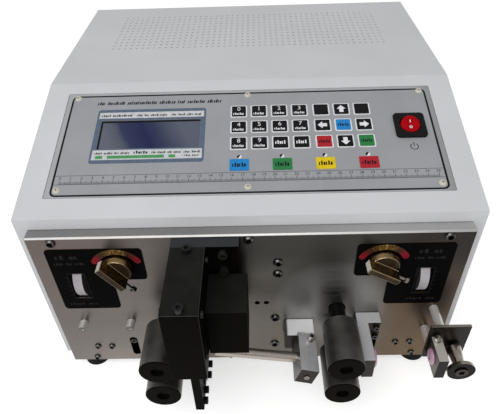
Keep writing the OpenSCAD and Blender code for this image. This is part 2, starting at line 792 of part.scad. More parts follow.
// Lifting arms
module lift_arm() difference() {
    union() {
        block(arm_limb, arm_y, [upper_z - arm_boss, arm_top]);
        block([roller_x - arm_boss, arm_limb[1]], arm_y, [upper_z - arm_boss, arm_foot_top]);
    }
    translate([roller_x, 0, upper_z]) along_y(arm_y[0] - over, arm_y[1] + over, shaft_d + 2 * run);
    way = [knob_x + pin_way[0], knob_x + ecc + pin_way[1]];
    block(way, [arm_y[0] - over, arm_y[1] + over], about(knob_z + arm_travel / 2, ecc_pin / 2 + gap));
    for (x = way) translate([x, 0, knob_z + arm_travel / 2])
        along_y(arm_y[0] - over, arm_y[1] + over, ecc_pin + 2 * gap);
}

module left_lift_arm() color([0.62, 0.63, 0.64]) side(-1) lift_arm();
module right_lift_arm() color([0.62, 0.63, 0.64]) side(1) lift_arm();

module arm_guides() color([0.55, 0.55, 0.56]) for (s = [-1, 1]) side(s) {
    lip_y = [arm_y[1] + gap, arm_y[1] + gap + guide_t];
    block([arm_limb[1] + gap, arm_limb[1] + gap + guide_w], [plate_t, lip_y[1]], guide_z);
    block([arm_limb[1] - guide_lip, arm_limb[1] + gap + eps], lip_y, guide_z);
    block([arm_limb[0] - gap - guide_w, arm_limb[0] - gap], [plate_t, lip_y[1]], guide_z);
    block([arm_limb[0] - gap - eps, arm_limb[0] + guide_lip], lip_y, guide_z);
}

// Knobs
module knob_collars() color([0.65, 0.55, 0.33]) for (s = [-1, 1]) side(s)
    translate([knob_x, 0, knob_z]) difference() {
        along_y(-collar_len, 0, collar_d);
        along_y(-collar_len - over, over, knob_shaft + 2 * run);
    }

// Round body that narrows to the front, its shaft, and a grip bar that reaches further to one side
module knob(turn) {
    translate([0, knob_front + knob_body, 0]) rotate([90, 0, 0])
        cylinder(d1 = knob_d, d2 = knob_d - knob_taper, h = knob_body);
    along_y(knob_front, plate_t - web_t, knob_shaft);
    rotate([0, turn, 0]) block(about(grip_shift, grip_len / 2), [knob_front - grip_rise, knob_front + eps],
        about(0, grip_t / 2));
}

module eccentric() {
    along_y(plate_t - web_t - eps, plate_t - eps, web_d);
    translate([arm_travel / 2, 0, arm_travel / 2]) along_y(plate_t - web_t, arm_y[1], ecc_pin);
}

module left_knob() color([0.6, 0.5, 0.33]) {
    translate([-knob_x, 0, knob_z]) difference() {
        knob(grip_turn[0]);
        knob_screw_hole(grip_turn[0]);
    }
    side(-1) translate([knob_x, 0, knob_z]) eccentric();
}

module right_knob() color([0.6, 0.5, 0.33]) {
    translate([knob_x, 0, knob_z]) difference() {
        knob(grip_turn[1]);
        knob_screw_hole(grip_turn[1]);
    }
    side(1) translate([knob_x, 0, knob_z]) eccentric();
}

module at_grip(turn) rotate([0, turn, 0])
    translate([grip_shift + grip_len / 2, knob_front - knob_screw_rise, 0]) children();

module knob_screw_hole(turn) at_grip(turn) along_x(-knob_screw_in, over, knob_screw_d);

module knob_screw(turn) at_grip(turn) {
    along_x(-knob_screw_in, knob_screw_len, knob_screw_d);
    along_x(knob_screw_len - eps, knob_screw_len + knob_screw_head[1], knob_screw_head[0]);
}

module left_knob_screw() color([0.8, 0.8, 0.8]) translate([-knob_x, 0, knob_z]) knob_screw(grip_turn[0]);
module right_knob_screw() color([0.8, 0.8, 0.8]) translate([knob_x, 0, knob_z]) knob_screw(grip_turn[1]);

module dial_plates() color([0.05, 0.05, 0.05]) for (s = [-1, 1]) side(s)
    rotate([90, 0, 0]) linear_extrude(dial_t) difference() {
        union() {
            for (d = [dial_top, dial_low]) translate([(d[0] + d[1]) / 2, (d[2] + d[3]) / 2])
                round_rect(d[1] - d[0], d[3] - d[2], dial_r);
            translate([dial_low[0], dial_low[3] - dial_r]) square([dial_low[1] - dial_low[0], 2 * dial_r]);
        }
        translate([knob_x, knob_z]) circle(d = collar_d);
        translate([wheel_x, wheel_z]) square(window, center = true);
    }

// Thumbwheels
module thumbwheel() translate([wheel_x, wheel_y, wheel_z]) {
    along_x(-wheel_w / 2, wheel_w / 2, 2 * wheel_r);
    along_x(-ear_gap / 2 - ear_t, ear_gap / 2 + ear_t, wheel_axle);
}

module left_thumbwheel() color([0.88, 0.87, 0.9]) side(-1) thumbwheel();
module right_thumbwheel() color([0.88, 0.87, 0.9]) side(1) thumbwheel();

module wheel_brackets() color([0.5, 0.5, 0.52]) for (s = [-1, 1], e = [-1, 1]) side(s) difference() {
    block(about(wheel_x + e * (ear_gap + ear_t) / 2, ear_t / 2), [plate_t, wheel_y + ear_back],
        [wheel_z - pocket[1] / 2 - ear_foot, wheel_z + ear_back]);
    translate([wheel_x, wheel_y, wheel_z]) along_x(-ear_gap, ear_gap, wheel_axle + 2 * run);
    translate([wheel_x, 0, wheel_z])
        block([-ear_gap, ear_gap], [plate_t - over, wheel_y - wheel_axle], [-pocket[1] / 2, ear_back + over]);
}

// Cutter head
module cutter_base() color([0.1, 0.1, 0.1]) difference() {
    block([head_x[0], base_right], [-base_t, 0], [head_bottom, head_top]);
    translate([crank_x, 0, crank_z]) along_y(-base_t - over, over, crank_shaft + 2 * shaft_room);
    for (z = base_bolt_z) translate([base_bolt_x, 0, z])
        along_y(-base_t - over, -base_t + base_bolt_depth, cap_shank);
}

module cutter_housing() color([0.09, 0.09, 0.09]) difference() {
    block(head_x, [-head_reach, -base_t], [head_bottom, head_top]);
    block([head_x[0] + head_wall, head_x[1] - head_wall], [-head_reach + head_wall, -base_t + over],
        [head_bottom - over, head_top - head_wall]);
    for (y = top_screw_y) translate([crank_x, y, head_top - head_wall - over])
        cylinder(d = cap_shank, h = head_wall + 2 * over);
    for (p = side_screw_spots) translate([0, p[0], p[1]])
        along_x(head_x[1] - side_screw[3], head_x[1] + over, side_screw[2]);
}

module cutter_screws() color([0.12, 0.12, 0.12]) {
    for (y = top_screw_y) translate([crank_x, y, head_top]) socket_screw(cap_d, cap_h, cap_shank, head_wall);
    for (z = base_bolt_z) translate([base_bolt_x, -base_t, z]) rotate([90, 0, 0])
        socket_screw(cap_d, cap_h, cap_shank, base_bolt_depth);
    for (p = side_screw_spots) translate([head_x[1], p[0], p[1]]) rotate([0, 90, 0])
        socket_screw(side_screw[0], side_screw[1], side_screw[2], side_screw[3]);
}

module cutter_crank() color([0.6, 0.6, 0.62]) translate([crank_x, 0, crank_z]) {
    along_y(disc_y, disc_y + disc_t, disc_d);
    along_y(disc_y, plate_t + motor_shaft_in, crank_shaft);
    translate([crank_e, 0, 0]) along_y(upper_y[0] + gap, disc_y + eps, crank_pin_d);
    translate([-crank_e, 0, 0]) along_y(lower_y[0] + gap, disc_y + eps, crank_pin_d);
}

// Slot in a carrier for a crank pin that starts at x and moves towards the crank's axis by draw
module pin_slot(x, draw, y, rise) {
    d = crank_pin_d + 2 * pin_play;
    x1 = x > 0 ? x - draw : x + draw;
    translate([crank_x, 0, crank_z])
        block([min(x, x1) - d / 2, max(x, x1) + d / 2], [y[0] - over, y[1] + over], [-d / 2, d / 2 + rise]);
}

module upper_blade_carrier() color([0.16, 0.16, 0.17]) difference() {
    union() {
        block(about(crank_x, carrier_w / 2), upper_y, [head_bottom + plate_drop[0], carrier_top]);
        block([fin_x[0], arm_x1], [-wire_y - upper_reach, upper_y[1]],
            [upper_foot, head_bottom + plate_drop[1]]);
    }
    pin_slot(crank_e, crank_e * (1 - cos(crank_turn)), upper_y, 0);
    pin_slot(-crank_e, crank_e * (1 - cos(crank_turn)), upper_y, 2 * blade_travel + shaft_room);
}

module lower_blade_carrier() color([0.09, 0.09, 0.09]) difference() {
    union() {
        block(about(crank_x, carrier_w / 2), lower_y, [crank_z - plate_drop[2], carrier_top]);
        block(fin_x, [fin_front, lower_y[1]], [carrier_top - plate_drop[2], carrier_top]);
        block(fin_x, [fin_front, fin_front + limb_w], [fin_bottom, carrier_top]);
        block(fin_x, [fin_front, -wire_y + foot_back_y], [fin_bottom, foot_top]);
    }
    pin_slot(-crank_e, crank_e * (1 - cos(crank_turn)), lower_y, 0);
    for (y = foot_screw_y) translate([0, y, foot_screw_z])
        along_x(fin_x[0] - over, fin_x[1] + over, foot_screw[2]);
}

// V blade in the plane of x, with its notch up at y = -wire_y
module v_blade(z0, tip) rotate([90, 0, 90]) linear_extrude(blade_t)
    polygon([[blade_y[0], z0], [blade_y[0], tip], [-wire_y - notch_half, tip], [-wire_y, tip - notch],
        [-wire_y + notch_half, tip], [blade_y[1], tip], [blade_y[1], z0]]);

module lower_blade() color([0.75, 0.76, 0.78]) difference() {
    translate([fin_x[1], 0, 0]) v_blade(fin_bottom + blade_lift, wire_z - blade_gap + notch);
    for (y = foot_screw_y) translate([0, y, foot_screw_z])
        along_x(fin_x[1] - over, fin_x[1] + blade_t + over, foot_screw[2]);
}

module upper_blade() color([0.75, 0.76, 0.78]) translate([arm_x1, 0, 2 * wire_z]) mirror([0, 0, 1])
    v_blade(wire_z - upper_blade_len, wire_z - blade_gap + notch);

module blade_screws() color([0.2, 0.2, 0.2]) for (y = foot_screw_y) {
    seat = y > blade_y[0] ? blade_t : 0;
    translate([fin_x[1] + seat, y, foot_screw_z]) rotate([0, 90, 0])
        socket_screw(foot_screw[0], foot_screw[1], foot_screw[2], foot_screw_in + seat);
}

// Swing solenoid and its plunger, which hangs behind the conduit tube and lifts it on a pin
module swing_solenoid() color([0.08, 0.08, 0.08]) difference() {
    block(coil_x, coil_y, [coil_bottom, coil_top]);
    translate([plunger_x, plunger_y, coil_bottom - over])
        cylinder(d = plunger_d + 2 * run, h = plunger_up + plunger_room + over);
}

module solenoid_plunger() color([0.62, 0.62, 0.63]) translate([plunger_x, 0, 0]) {
    plunger_z = hook_z - hook_d / 2 - hook_end;
    translate([0, plunger_y, plunger_z])
        cylinder(d = plunger_d, h = coil_bottom + plunger_up - plunger_z);
    translate([0, 0, hook_z]) along_y(-wire_y - hook_reach, plunger_y, hook_d);
}

// Conduit
module at_swing() translate([swing_x, 0, wire_z]) rotate([0, swing, 0]) children();

// Outline of the conduit base, with its upper left edge rounded
module base_outline() translate([base_x[0], base_z[0]]) {
    translate([base_w / 2, base_h / 2]) round_rect(base_w, base_h, base_round);
    square([base_w, base_h - base_round]);
    translate([base_round, 0]) square([base_w - base_round, base_h]);
}

module conduit_base() color([0.6, 0.61, 0.62]) difference() {
    rotate([90, 0, 0]) linear_extrude(-base_y0) base_outline();
    translate([swing_x, 0, wire_z]) along_y(base_y0 - over, base_y0 + pivot_in + over, pivot_d + 2 * run);
}

module swing_block() color([0.62, 0.63, 0.64]) at_swing() difference() {
    union() {
        rotate([0, swing_lean, 0]) block(about(0, swing_w / 2), swing_y, about(0, swing_h / 2));
        along_y(swing_y[1] - eps, base_y0 + pivot_in, pivot_d);
    }
    translate([0, -wire_y, 0]) along_x(-swing_w, swing_w, tube_bore);
    translate([0, -wire_y, 0]) along_x(-swing_w, -swing_w / 2 + tube_in, tube_d);
    rotate([0, swing_lean, 0]) {
        translate([swing_screw_x, swing_screw_y, swing_h / 2 - swing_screw[3]])
            cylinder(d = swing_screw[2], h = swing_h);
        along_y(swing_y[0] - over, swing_y[0] + face_screw[3], face_screw[2]);
    }
}

// Screw on top of the swing block and screw in its front face
module conduit_screw() color([0.8, 0.8, 0.8]) at_swing() rotate([0, swing_lean, 0]) {
    translate([swing_screw_x, swing_screw_y, swing_h / 2])
        socket_screw(swing_screw[0], swing_screw[1], swing_screw[2], swing_screw[3]);
    translate([0, swing_y[0], 0]) rotate([90, 0, 0])
        socket_screw(face_screw[0], face_screw[1], face_screw[2], face_screw[3]);
}

module conduit_tube() color([0.66, 0.66, 0.67]) at_swing() translate([0, -wire_y, 0]) difference() {
    along_x(-tube_len, -swing_w / 2 + tube_in, tube_d);
    along_x(-tube_len - over, 0, tube_bore);
}

// Wire guides
module inlet_bracket() color([0.62, 0.63, 0.64]) difference() {
    union() {
        block([inlet_x[0], inlet_x[2]], [inlet_y[1], 0], inlet_z);
        block([inlet_x[0], inlet_x[1]], [inlet_y[0], inlet_y[1] + eps], inlet_z);
    }
    translate([0, -wire_y, wire_z]) along_x(inlet_x[0] - over, inlet_x[1] + over, eyelet_sleeve + 2 * run);
    for (z = inlet_screw_z) translate([inlet_screw_x, 0, z])
        along_y(inlet_y[1] - over, inlet_y[1] + inlet_screw[3], inlet_screw[2]);
}

// Sleeve with a flange of diameter d and thickness t that is rounded at its outer edge
module eyelet(length, d, t) difference() {
    union() {
        along_x(-length, eps, eyelet_sleeve);
        along_x(0, t, d - 2 * t);
        intersection() {
            along_x(0, t, d);
            rotate([0, 90, 0]) rotate_extrude() translate([d / 2 - t, 0]) circle(t);
        }
    }
    along_x(-length - over, t + over, eyelet_bore);
}

module ceramic_eyelets() color([0.8, 0.6, 0.7]) {
    translate([inlet_x[1], -wire_y, wire_z])
        eyelet(inlet_x[1] - inlet_x[0], inlet_flange[0], inlet_flange[1]);
    translate([bar_x[0], -wire_y, wire_z]) mirror([1, 0, 0])
        eyelet(bar_x[1] - bar_x[0], eyelet_d, eyelet_flange);
}

module guide_bracket() color([0.3, 0.29, 0.28]) difference() {
    block(plate2_x, [bar_y[1], bar_y[1] + plate2_t], plate2_z);
    translate([spool_x, 0, spool_z]) along_y(bar_y[1] - over, bar_y[1] + plate2_t + over, spool_stud);
}

module guide_bar() color([0.62, 0.63, 0.64]) difference() {
    block(bar_x, bar_y, bar_z);
    translate([0, -wire_y, wire_z]) along_x(bar_x[0] - over, bar_x[1] + over, eyelet_sleeve + 2 * run);
    translate([bar_mid, bar_screw_y, bar_z[1] - bar_screw[3]])
        cylinder(d = bar_screw[2], h = bar_screw[3] + over);
}

module guide_screws() color([0.8, 0.8, 0.8]) {
    translate([bar_mid, bar_screw_y, bar_z[1]])
        socket_screw(bar_screw[0], bar_screw[1], bar_screw[2], bar_screw[3]);
    translate([spool_x, 0, spool_z]) {
        along_y(spool_y[0] + cap_sink, bar_y[1], spool_axle);
        along_y(bar_y[1] - eps, bar_y[1] + plate2_t, spool_stud);
        difference() {
            along_y(spool_y[0] - cap_sink, spool_y[0] + cap_sink + eps, spool_cap);
            translate([0, spool_y[0], 0]) rotate([90, 0, 0])
                cylinder(d = spool_cap / 2, h = 2 * cap_sink, $fn = 6);
        }
    }
}

module guide_spool() color([0.35, 0.34, 0.33]) translate([spool_x, 0, spool_z]) difference() {
    rotate([-90, 0, 0]) {
        translate([0, 0, spool_y[0]]) cylinder(d = spool_d, h = spool_rim);
        translate([0, 0, spool_y[0] + spool_rim - eps])
            cylinder(d1 = spool_d - spool_rim, d2 = waist_d, h = spool_flare + 2 * eps);
        translate([0, 0, spool_y[0] + spool_rim + spool_flare])
            cylinder(d1 = waist_d, d2 = spool_back_d, h = spool_y[1] - spool_y[0] - spool_rim - spool_flare);
    }
    along_y(spool_y[0] - over, spool_y[1] + over, spool_axle + 2 * run);
    along_y(spool_y[0] - over, spool_y[0] + cap_sink + gap, spool_cap + 2 * gap);
}

place() base_pan();
place() cabinet_cover();
place() rear_panel();
place() front_plate();
place() rubber_feet();
place() keypad_overlay();
place() lcd_module();
place() panel_screws();
place() switch_housing();
place() control_board();
place() power_supply();
place() power_inlet();
place() plate_screws();
place() dial_plates();
place() knob_collars();
place() wheel_brackets();
place() feed_motors();
place() motor_brackets();
place() arm_guides();
place() shaft_bearings();
place() cutter_motor();
place() cutter_base();
place() cutter_housing();
place() cutter_screws();
place() swing_solenoid();
place() conduit_base();
place() inlet_bracket();
place() ceramic_eyelets();
place() guide_posts();
place() guide_bracket();
place() guide_bar();
place() guide_screws();
place() switch_rocker();
place() left_knob();
place() left_knob_screw();
place() right_knob();
place() right_knob_screw();
place() left_lift_arm();
place() right_lift_arm();
place() left_upper_shaft();
place() left_upper_roller();
place() right_upper_shaft();
place() right_upper_roller();
place() left_lower_shaft();
place() left_lower_roller();
place() right_lower_shaft();
place() right_lower_roller();
place() left_thumbwheel();
place() right_thumbwheel();
place() cutter_crank();
place() upper_blade_carrier();
place() upper_blade();
place() lower_blade_carrier();
place() lower_blade();
place() blade_screws();
place() swing_block();
place() conduit_screw();
place() conduit_tube();
place() solenoid_plunger();
place() guide_spool();
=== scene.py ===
import math

import bmesh
import bpy
from mathutils import Matrix, Vector


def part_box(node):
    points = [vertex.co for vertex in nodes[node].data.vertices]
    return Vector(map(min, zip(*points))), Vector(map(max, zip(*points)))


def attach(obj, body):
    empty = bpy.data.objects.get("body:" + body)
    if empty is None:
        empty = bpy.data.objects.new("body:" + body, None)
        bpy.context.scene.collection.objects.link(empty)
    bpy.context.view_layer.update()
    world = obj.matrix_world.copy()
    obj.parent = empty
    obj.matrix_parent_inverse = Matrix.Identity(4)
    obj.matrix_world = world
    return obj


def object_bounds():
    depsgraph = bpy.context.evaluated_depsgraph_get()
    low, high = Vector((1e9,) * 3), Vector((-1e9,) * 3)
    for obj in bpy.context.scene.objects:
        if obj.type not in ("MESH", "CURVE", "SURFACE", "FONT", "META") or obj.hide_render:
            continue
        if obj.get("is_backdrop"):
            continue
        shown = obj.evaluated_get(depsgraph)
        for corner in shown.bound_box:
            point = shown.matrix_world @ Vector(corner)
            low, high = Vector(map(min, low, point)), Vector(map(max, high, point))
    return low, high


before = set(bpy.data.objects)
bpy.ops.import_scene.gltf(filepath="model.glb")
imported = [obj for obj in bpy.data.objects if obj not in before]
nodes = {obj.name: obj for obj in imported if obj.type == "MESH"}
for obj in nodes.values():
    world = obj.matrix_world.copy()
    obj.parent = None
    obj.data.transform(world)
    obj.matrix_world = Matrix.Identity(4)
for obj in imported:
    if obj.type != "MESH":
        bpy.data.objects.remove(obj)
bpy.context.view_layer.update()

# Places are in millimetres from the lower front edge of the front plate, midway across

MM = 0.001
plate_low, plate_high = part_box("front_plate")
DATUM = Vector((0.0, plate_low.y, plate_low.z))
LIP = (12.0, 197.5)
CREASE = (177.0, 245.0)
SLOPE = math.atan2(CREASE[1] - LIP[1], CREASE[0] - LIP[0])
UP_SLOPE = Vector((0.0, math.cos(SLOPE), math.sin(SLOPE)))
OUT_SLOPE = Vector((0.0, -math.sin(SLOPE), math.cos(SLOPE)))


def at(x, y, z):
    """Place in the row frame from millimetres off the datum."""
    return DATUM + Vector((x, y, z)) * MM


def flat_frame(origin, across, up, out):
    """Matrix from millimetres across, up and out of a flat face to the row frame."""
    m = Matrix.Identity(4)
    for i, axis in enumerate((across, up, out)):
        for j in range(3):
            m[j][i] = axis[j] * MM
    for j in range(3):
        m[j][3] = origin[j]
    return m


RIGHT = Vector((1.0, 0.0, 0.0))
UP = Vector((0.0, 0.0, 1.0))
FRONT = Vector((0.0, -1.0, 0.0))
PANEL = flat_frame(at(0, *LIP), RIGHT, UP_SLOPE, OUT_SLOPE)
PLATE = flat_frame(at(0, 0, 0), RIGHT, UP, FRONT)

# Heights above the sloped face
FILM = -0.3
KEY_TOP = 0.2
GLASS = -0.9
INK = 0.04

# Places and sizes across and up the sloped face; the border has a width, a height and a corner radius
BORDER = (364.0, 128.0, 6.0)
BORDER_MID = 88.5
DISPLAY = (-97.0, 98.5)
DISPLAY_SIZE = (100.0, 37.0)

# Places and sizes across and up the front plate: its height and upper edge, which carries a painted
# reflection of the cabinet lip, a painted highlight and how far it reaches, the two slots and how deep their
# painted shade starts, the middle of a dial's band
PLATE_H = (plate_high.z - plate_low.z) / MM
PLATE_LIP = 180.0
GLOW = (78.0, 88.0)
GLOW_REACH = (12.0, 58.0)
SLOT_X = 127.0
SLOT_HALF = 4.6
SLOT_SPAN = (4.0, 42.0)
SLOT_FROM = 0.8
BAND_CENTRE = (121.8, 146.0)

# Limits between pieces that share a material: across the plate
INLET_FROM = 100.0
GUIDE_FROM = 150.0
SPOOL_CAP_FROM = 190.0

# Limits between pieces that share a material: along the depth, minus in front of the plate
SWING_BACK = -20.1
HOUSING_BACK = -12.2
COLLAR_FRONT = -9.3


# Flat shapes

def rounded(cx, cy, w, h, r, steps=5):
    """Rectangle with round corners about a centre."""
    points = []
    for qx, qy, start in ((1, 1, 0), (-1, 1, 90), (-1, -1, 180), (1, -1, 270)):
        for i in range(steps + 1):
            a = math.radians(start + 90 * i / steps)
            points.append((cx + qx * (w / 2 - r) + r * math.cos(a),
                           cy + qy * (h / 2 - r) + r * math.sin(a)))
    return points


def rect(x0, y0, x1, y1):
    return [(x0, y0), (x1, y0), (x1, y1), (x0, y1)]


def fan(cx, cy, d, start, end, steps):
    """Points along an arc, angles in degrees from the right, anticlockwise, both ends included."""
    angles = [math.radians(start + (end - start) * i / steps) for i in range(steps + 1)]
    return [(cx + d / 2 * math.cos(a), cy + d / 2 * math.sin(a)) for a in angles]


def disc(cx, cy, d, steps):
    return fan(cx, cy, d, 0, 360, steps)[:-1]


def arc_band(cx, cy, r, wide, start, end, steps=32, end_steps=8):
    """Band along an arc with round ends, angles in degrees from straight up, clockwise."""
    def spot(middle, radius, angle):
        a = math.radians(angle)
        return (middle[0] + radius * math.sin(a), middle[1] + radius * math.cos(a))

    def round_end(angle, first):
        middle = spot((cx, cy), r, angle)
        return [spot(middle, wide / 2, first + 180 * i / end_steps) for i in range(1, end_steps)]

    turns = [start + (end - start) * i / steps for i in range(steps + 1)]
    outer = [spot((cx, cy), r + wide / 2, turn) for turn in turns]
    inner = [spot((cx, cy), r - wide / 2, turn) for turn in reversed(turns)]
    return outer + round_end(end, end) + inner + round_end(start, start + 180)


# Solids drawn in millimetres

def prism(bm, points, low, high):
    """Outline pulled up from one height to another."""
    below = [bm.verts.new((x, y, low)) for x, y in points]
    above = [bm.verts.new((x, y, high)) for x, y in points]
    bm.faces.new(list(reversed(below)))
    bm.faces.new(above)
    count = len(points)
    for i in range(count):
        j = (i + 1) % count
        bm.faces.new((below[i], below[j], above[j], above[i]))


def ring(bm, outer, inner, low, high):
    """Frame between two outlines with the same number of points."""
    loops = [[bm.verts.new((x, y, z)) for x, y in side]
             for side in (outer, inner) for z in (low, high)]
    out_low, out_high, in_low, in_high = loops
    count = len(outer)
    for i in range(count):
        j = (i + 1) % count
        bm.faces.new((out_low[i], out_low[j], out_high[j], out_high[i]))
        bm.faces.new((in_high[i], in_high[j], in_low[j], in_low[i]))
        bm.faces.new((out_high[i], out_high[j], in_high[j], in_high[i]))
        bm.faces.new((in_low[i], in_low[j], out_low[j], out_low[i]))


def write(bm, text, cx, cy, size, low, high):
    """Digits or signs of the built-in face, centred, as solid shapes."""
    curve = bpy.data.curves.new("mark", "FONT")
    curve.body = text
    curve.size = 1.0
    curve.align_x = "CENTER"
    curve.resolution_u = 3
    curve.extrude = 0.5
    holder = bpy.data.objects.new("mark", curve)
    mesh = bpy.data.meshes.new_from_object(holder)
    tops = [v.co.y for v in mesh.vertices]
    middle = (min(tops) + max(tops)) / 2
    mesh.transform(Matrix.Translation((cx, cy, (low + high) / 2))
                   @ Matrix.Diagonal((size, size, high - low, 1.0))
                   @ Matrix.Translation((0.0, -middle, 0.0)))
    bm.from_mesh(mesh)
    bpy.data.objects.remove(holder)
    bpy.data.curves.remove(curve)
    bpy.data.meshes.remove(mesh)


def lathe(bm, profile, place, steps):
    """Turned solid: profile of (radius, height) from axis to axis, placed by a matrix."""
    rows = []
    for radius, height in profile:
        spots = disc(0.0, 0.0, 2 * radius, steps) if radius > 0.0 else [(0.0, 0.0)]
        rows.append([bm.verts.new(place @ Vector((x, y, height))) for x, y in spots])
    for a, b in zip(rows, rows[1:]):
        for i in range(steps):
            j = (i + 1) % steps
            corners = [a[i % len(a)], a[j % len(a)], b[j % len(b)], b[i % len(b)]]
            unique = list(dict.fromkeys(corners))
            if len(unique) > 2:
                bm.faces.new(unique)


def piece(name, bm, place, material, body="frame", smooth=None):
    """Turns the shapes into one object in the row frame that rides a body."""
    bmesh.ops.recalc_face_normals(bm, faces=bm.faces)
    bm.transform(place)
    mesh = bpy.data.meshes.new(name)
    bm.to_mesh(mesh)
    bm.free()
    mesh.materials.append(material)
    obj = bpy.data.objects.new(name, mesh)
    bpy.context.scene.collection.objects.link(obj)
    if smooth is not None:
        mesh.shade_smooth()
        mesh.set_sharp_from_angle(angle=math.radians(smooth))
    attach(obj, body)
    return obj


# Materials

def linear(r, g, b):
    """Display colour from 0 to 255 as a scene colour."""
    return tuple((c / 255 / 12.92) if c / 255 <= 0.04045 else ((c / 255 + 0.055) / 1.055) ** 2.4
                 for c in (r, g, b)) + (1.0,)


class Look:
    """A node material that is built up step by step."""

    def __init__(self, name, colour=(128, 128, 128), metal=0.0, rough=0.5, spec=0.5):
        self.mat = bpy.data.materials.new(name)
        self.mat.use_nodes = True
        self.tree = self.mat.node_tree
        self.bsdf = self.tree.nodes["Principled BSDF"]
        self.bsdf.inputs["Base Color"].default_value = linear(*colour)
        self.bsdf.inputs["Metallic"].default_value = metal
        self.bsdf.inputs["Roughness"].default_value = rough
        self.bsdf.inputs["Specular IOR Level"].default_value = spec
        self.mat.diffuse_color = linear(*colour)

    def add(self, kind, sources=(), **settings):
        """New node with its settings and the sources of its first inputs."""
        node = self.tree.nodes.new(kind)
        for key, value in settings.items():
            setattr(node, key, value)
        for index, source in enumerate(sources):
            self.feed(node.inputs[index], source)
        return node

    def feed(self, socket, source):
        """Links an output to an input, or sets the input's value."""
        if source is None:
            return
        if isinstance(source, bpy.types.NodeSocket):
            self.tree.links.new(source, socket)
        else:
            socket.default_value = source

    def coords(self, stretch=(1.0, 1.0, 1.0)):
        source = self.add("ShaderNodeTexCoord").outputs["Object"]
        mapping = self.add("ShaderNodeMapping", [source])
        mapping.inputs["Scale"].default_value = stretch
        return mapping.outputs["Vector"]

    def centred(self):
        """Place within the piece's box, from -0.5 to 0.5 along each side."""
        return self.vector("SUBTRACT", self.add("ShaderNodeTexCoord").outputs["Generated"], (0.5, 0.5, 0.5))

    def noise(self, scale, detail=3.0, stretch=(1.0, 1.0, 1.0)):
        node = self.add("ShaderNodeTexNoise", [self.coords(stretch=stretch)])
        node.inputs["Scale"].default_value = scale
        node.inputs["Detail"].default_value = detail
        return node.outputs["Fac"]

    def spread(self, fac, low, high, start=0.3, end=0.7):
        """A value from low to high while the factor goes from start to end."""
        node = self.add("ShaderNodeMapRange", [fac, start, end, low, high])
        return node.outputs["Result"]

    def ramp(self, fac, *stops):
        node = self.add("ShaderNodeValToRGB", [fac])
        ramp = node.color_ramp
        while len(ramp.elements) < len(stops):
            ramp.elements.new(1.0)
        for element, (position, colour) in zip(ramp.elements, stops):
            element.position = position
            element.color = linear(*colour)
        return node.outputs["Color"]

    def mix(self, fac, a, b):
        """Colour a where the factor is 0 and b where it is 1; sockets 6 and 7 take colours."""
        node = self.add("ShaderNodeMix", data_type="RGBA")
        self.feed(node.inputs[0], fac)
        for index, tone in ((6, a), (7, b)):
            self.feed(node.inputs[index], tone if isinstance(tone, bpy.types.NodeSocket) else linear(*tone))
        return node.outputs[2]

    def math(self, operation, a, b=None):
        return self.add("ShaderNodeMath", [a, b], operation=operation).outputs[0]

    def vector(self, operation, a, b=None):
        node = self.add("ShaderNodeVectorMath", [a, b], operation=operation)
        return node.outputs["Value"] if operation in ("LENGTH", "DOT_PRODUCT") else node.outputs["Vector"]

    def axis(self, vector, index):
        return self.add("ShaderNodeSeparateXYZ", [vector]).outputs[index]

    def facing(self, index, sign, start=0.7, end=0.95):
        """1 where the surface looks along an axis of the piece, 0 elsewhere."""
        normal = self.add("ShaderNodeTexCoord").outputs["Normal"]
        along = self.math("MULTIPLY", self.axis(normal, index), float(sign))
        return self.spread(along, 0.0, 1.0, start, end)

    def edge(self):
        """1 on the rounded edges of a squarely placed block, 0 on its faces."""
        normal = self.vector("ABSOLUTE", self.add("ShaderNodeTexCoord").outputs["Normal"])
        parts = [self.axis(normal, i) for i in range(3)]
        most = self.math("MAXIMUM", parts[0], self.math("MAXIMUM", parts[1], parts[2]))
        return self.spread(most, 1.0, 0.0, 0.76, 0.93)

    def cavity(self, reach):
        """1 in the open, 0 in hollows narrower than the reach in millimetres."""
        node = self.add("ShaderNodeAmbientOcclusion", samples=6)
        node.inputs["Distance"].default_value = reach * MM
        return self.spread(node.outputs["AO"], 0.0, 1.0, 0.35, 0.8)

    def colour(self, source):
        self.feed(self.bsdf.inputs["Base Color"], source)
        return self

    def rough(self, source):
        self.feed(self.bsdf.inputs["Roughness"], source)
        return self

    def metal(self, source):
        self.feed(self.bsdf.inputs["Metallic"], source)
        return self

    def spec(self, source):
        self.feed(self.bsdf.inputs["Specular IOR Level"], source)
        return self

    def bump(self, height, strength, distance):
        node = self.add("ShaderNodeBump")
        node.inputs["Strength"].default_value = strength
        node.inputs["Distance"].default_value = distance * MM
        self.feed(node.inputs["Height"], height)
        self.feed(self.bsdf.inputs["Normal"], node.outputs["Normal"])
        return self


def worn(name, dark, light, metal, rough, scale, stretch=(1.0, 1.0, 1.0), spec=0.5, grain=None):
    """Colour and roughness that drift between two values, with a fine grain in relief."""
    look = Look(name, light, metal, rough[1], spec)
    drift = look.noise(scale, 4.0, stretch)
    look.colour(look.ramp(drift, (0.3, dark), (0.7, light)))
    look.rough(look.spread(drift, rough[0], rough[1]))
    if grain:
        fine, strength, distance = grain
        look.bump(look.noise(fine, 2.0, stretch), strength, distance)
    return look


def panel_place(look):
    """Position across and up the sloped face in metres, as a vector."""
    source = look.add("ShaderNodeTexCoord").outputs["Object"]
    place = look.vector("SUBTRACT", source, tuple(at(0, *LIP)))
    up = look.vector("DOT_PRODUCT", place, tuple(UP_SLOPE))
    node = look.add("ShaderNodeCombineXYZ", [look.axis(place, 0), up])
    return node.outputs[0]


def paint_look():
    """Pale grey paint with a fine grain."""
    look = worn("paint", (200, 201, 204), (206, 207, 210), 0.0, (0.42, 0.52), 12.0, spec=0.3)
    look.bump(look.noise(2200.0, 2.0), 0.10, 0.08)
    return look


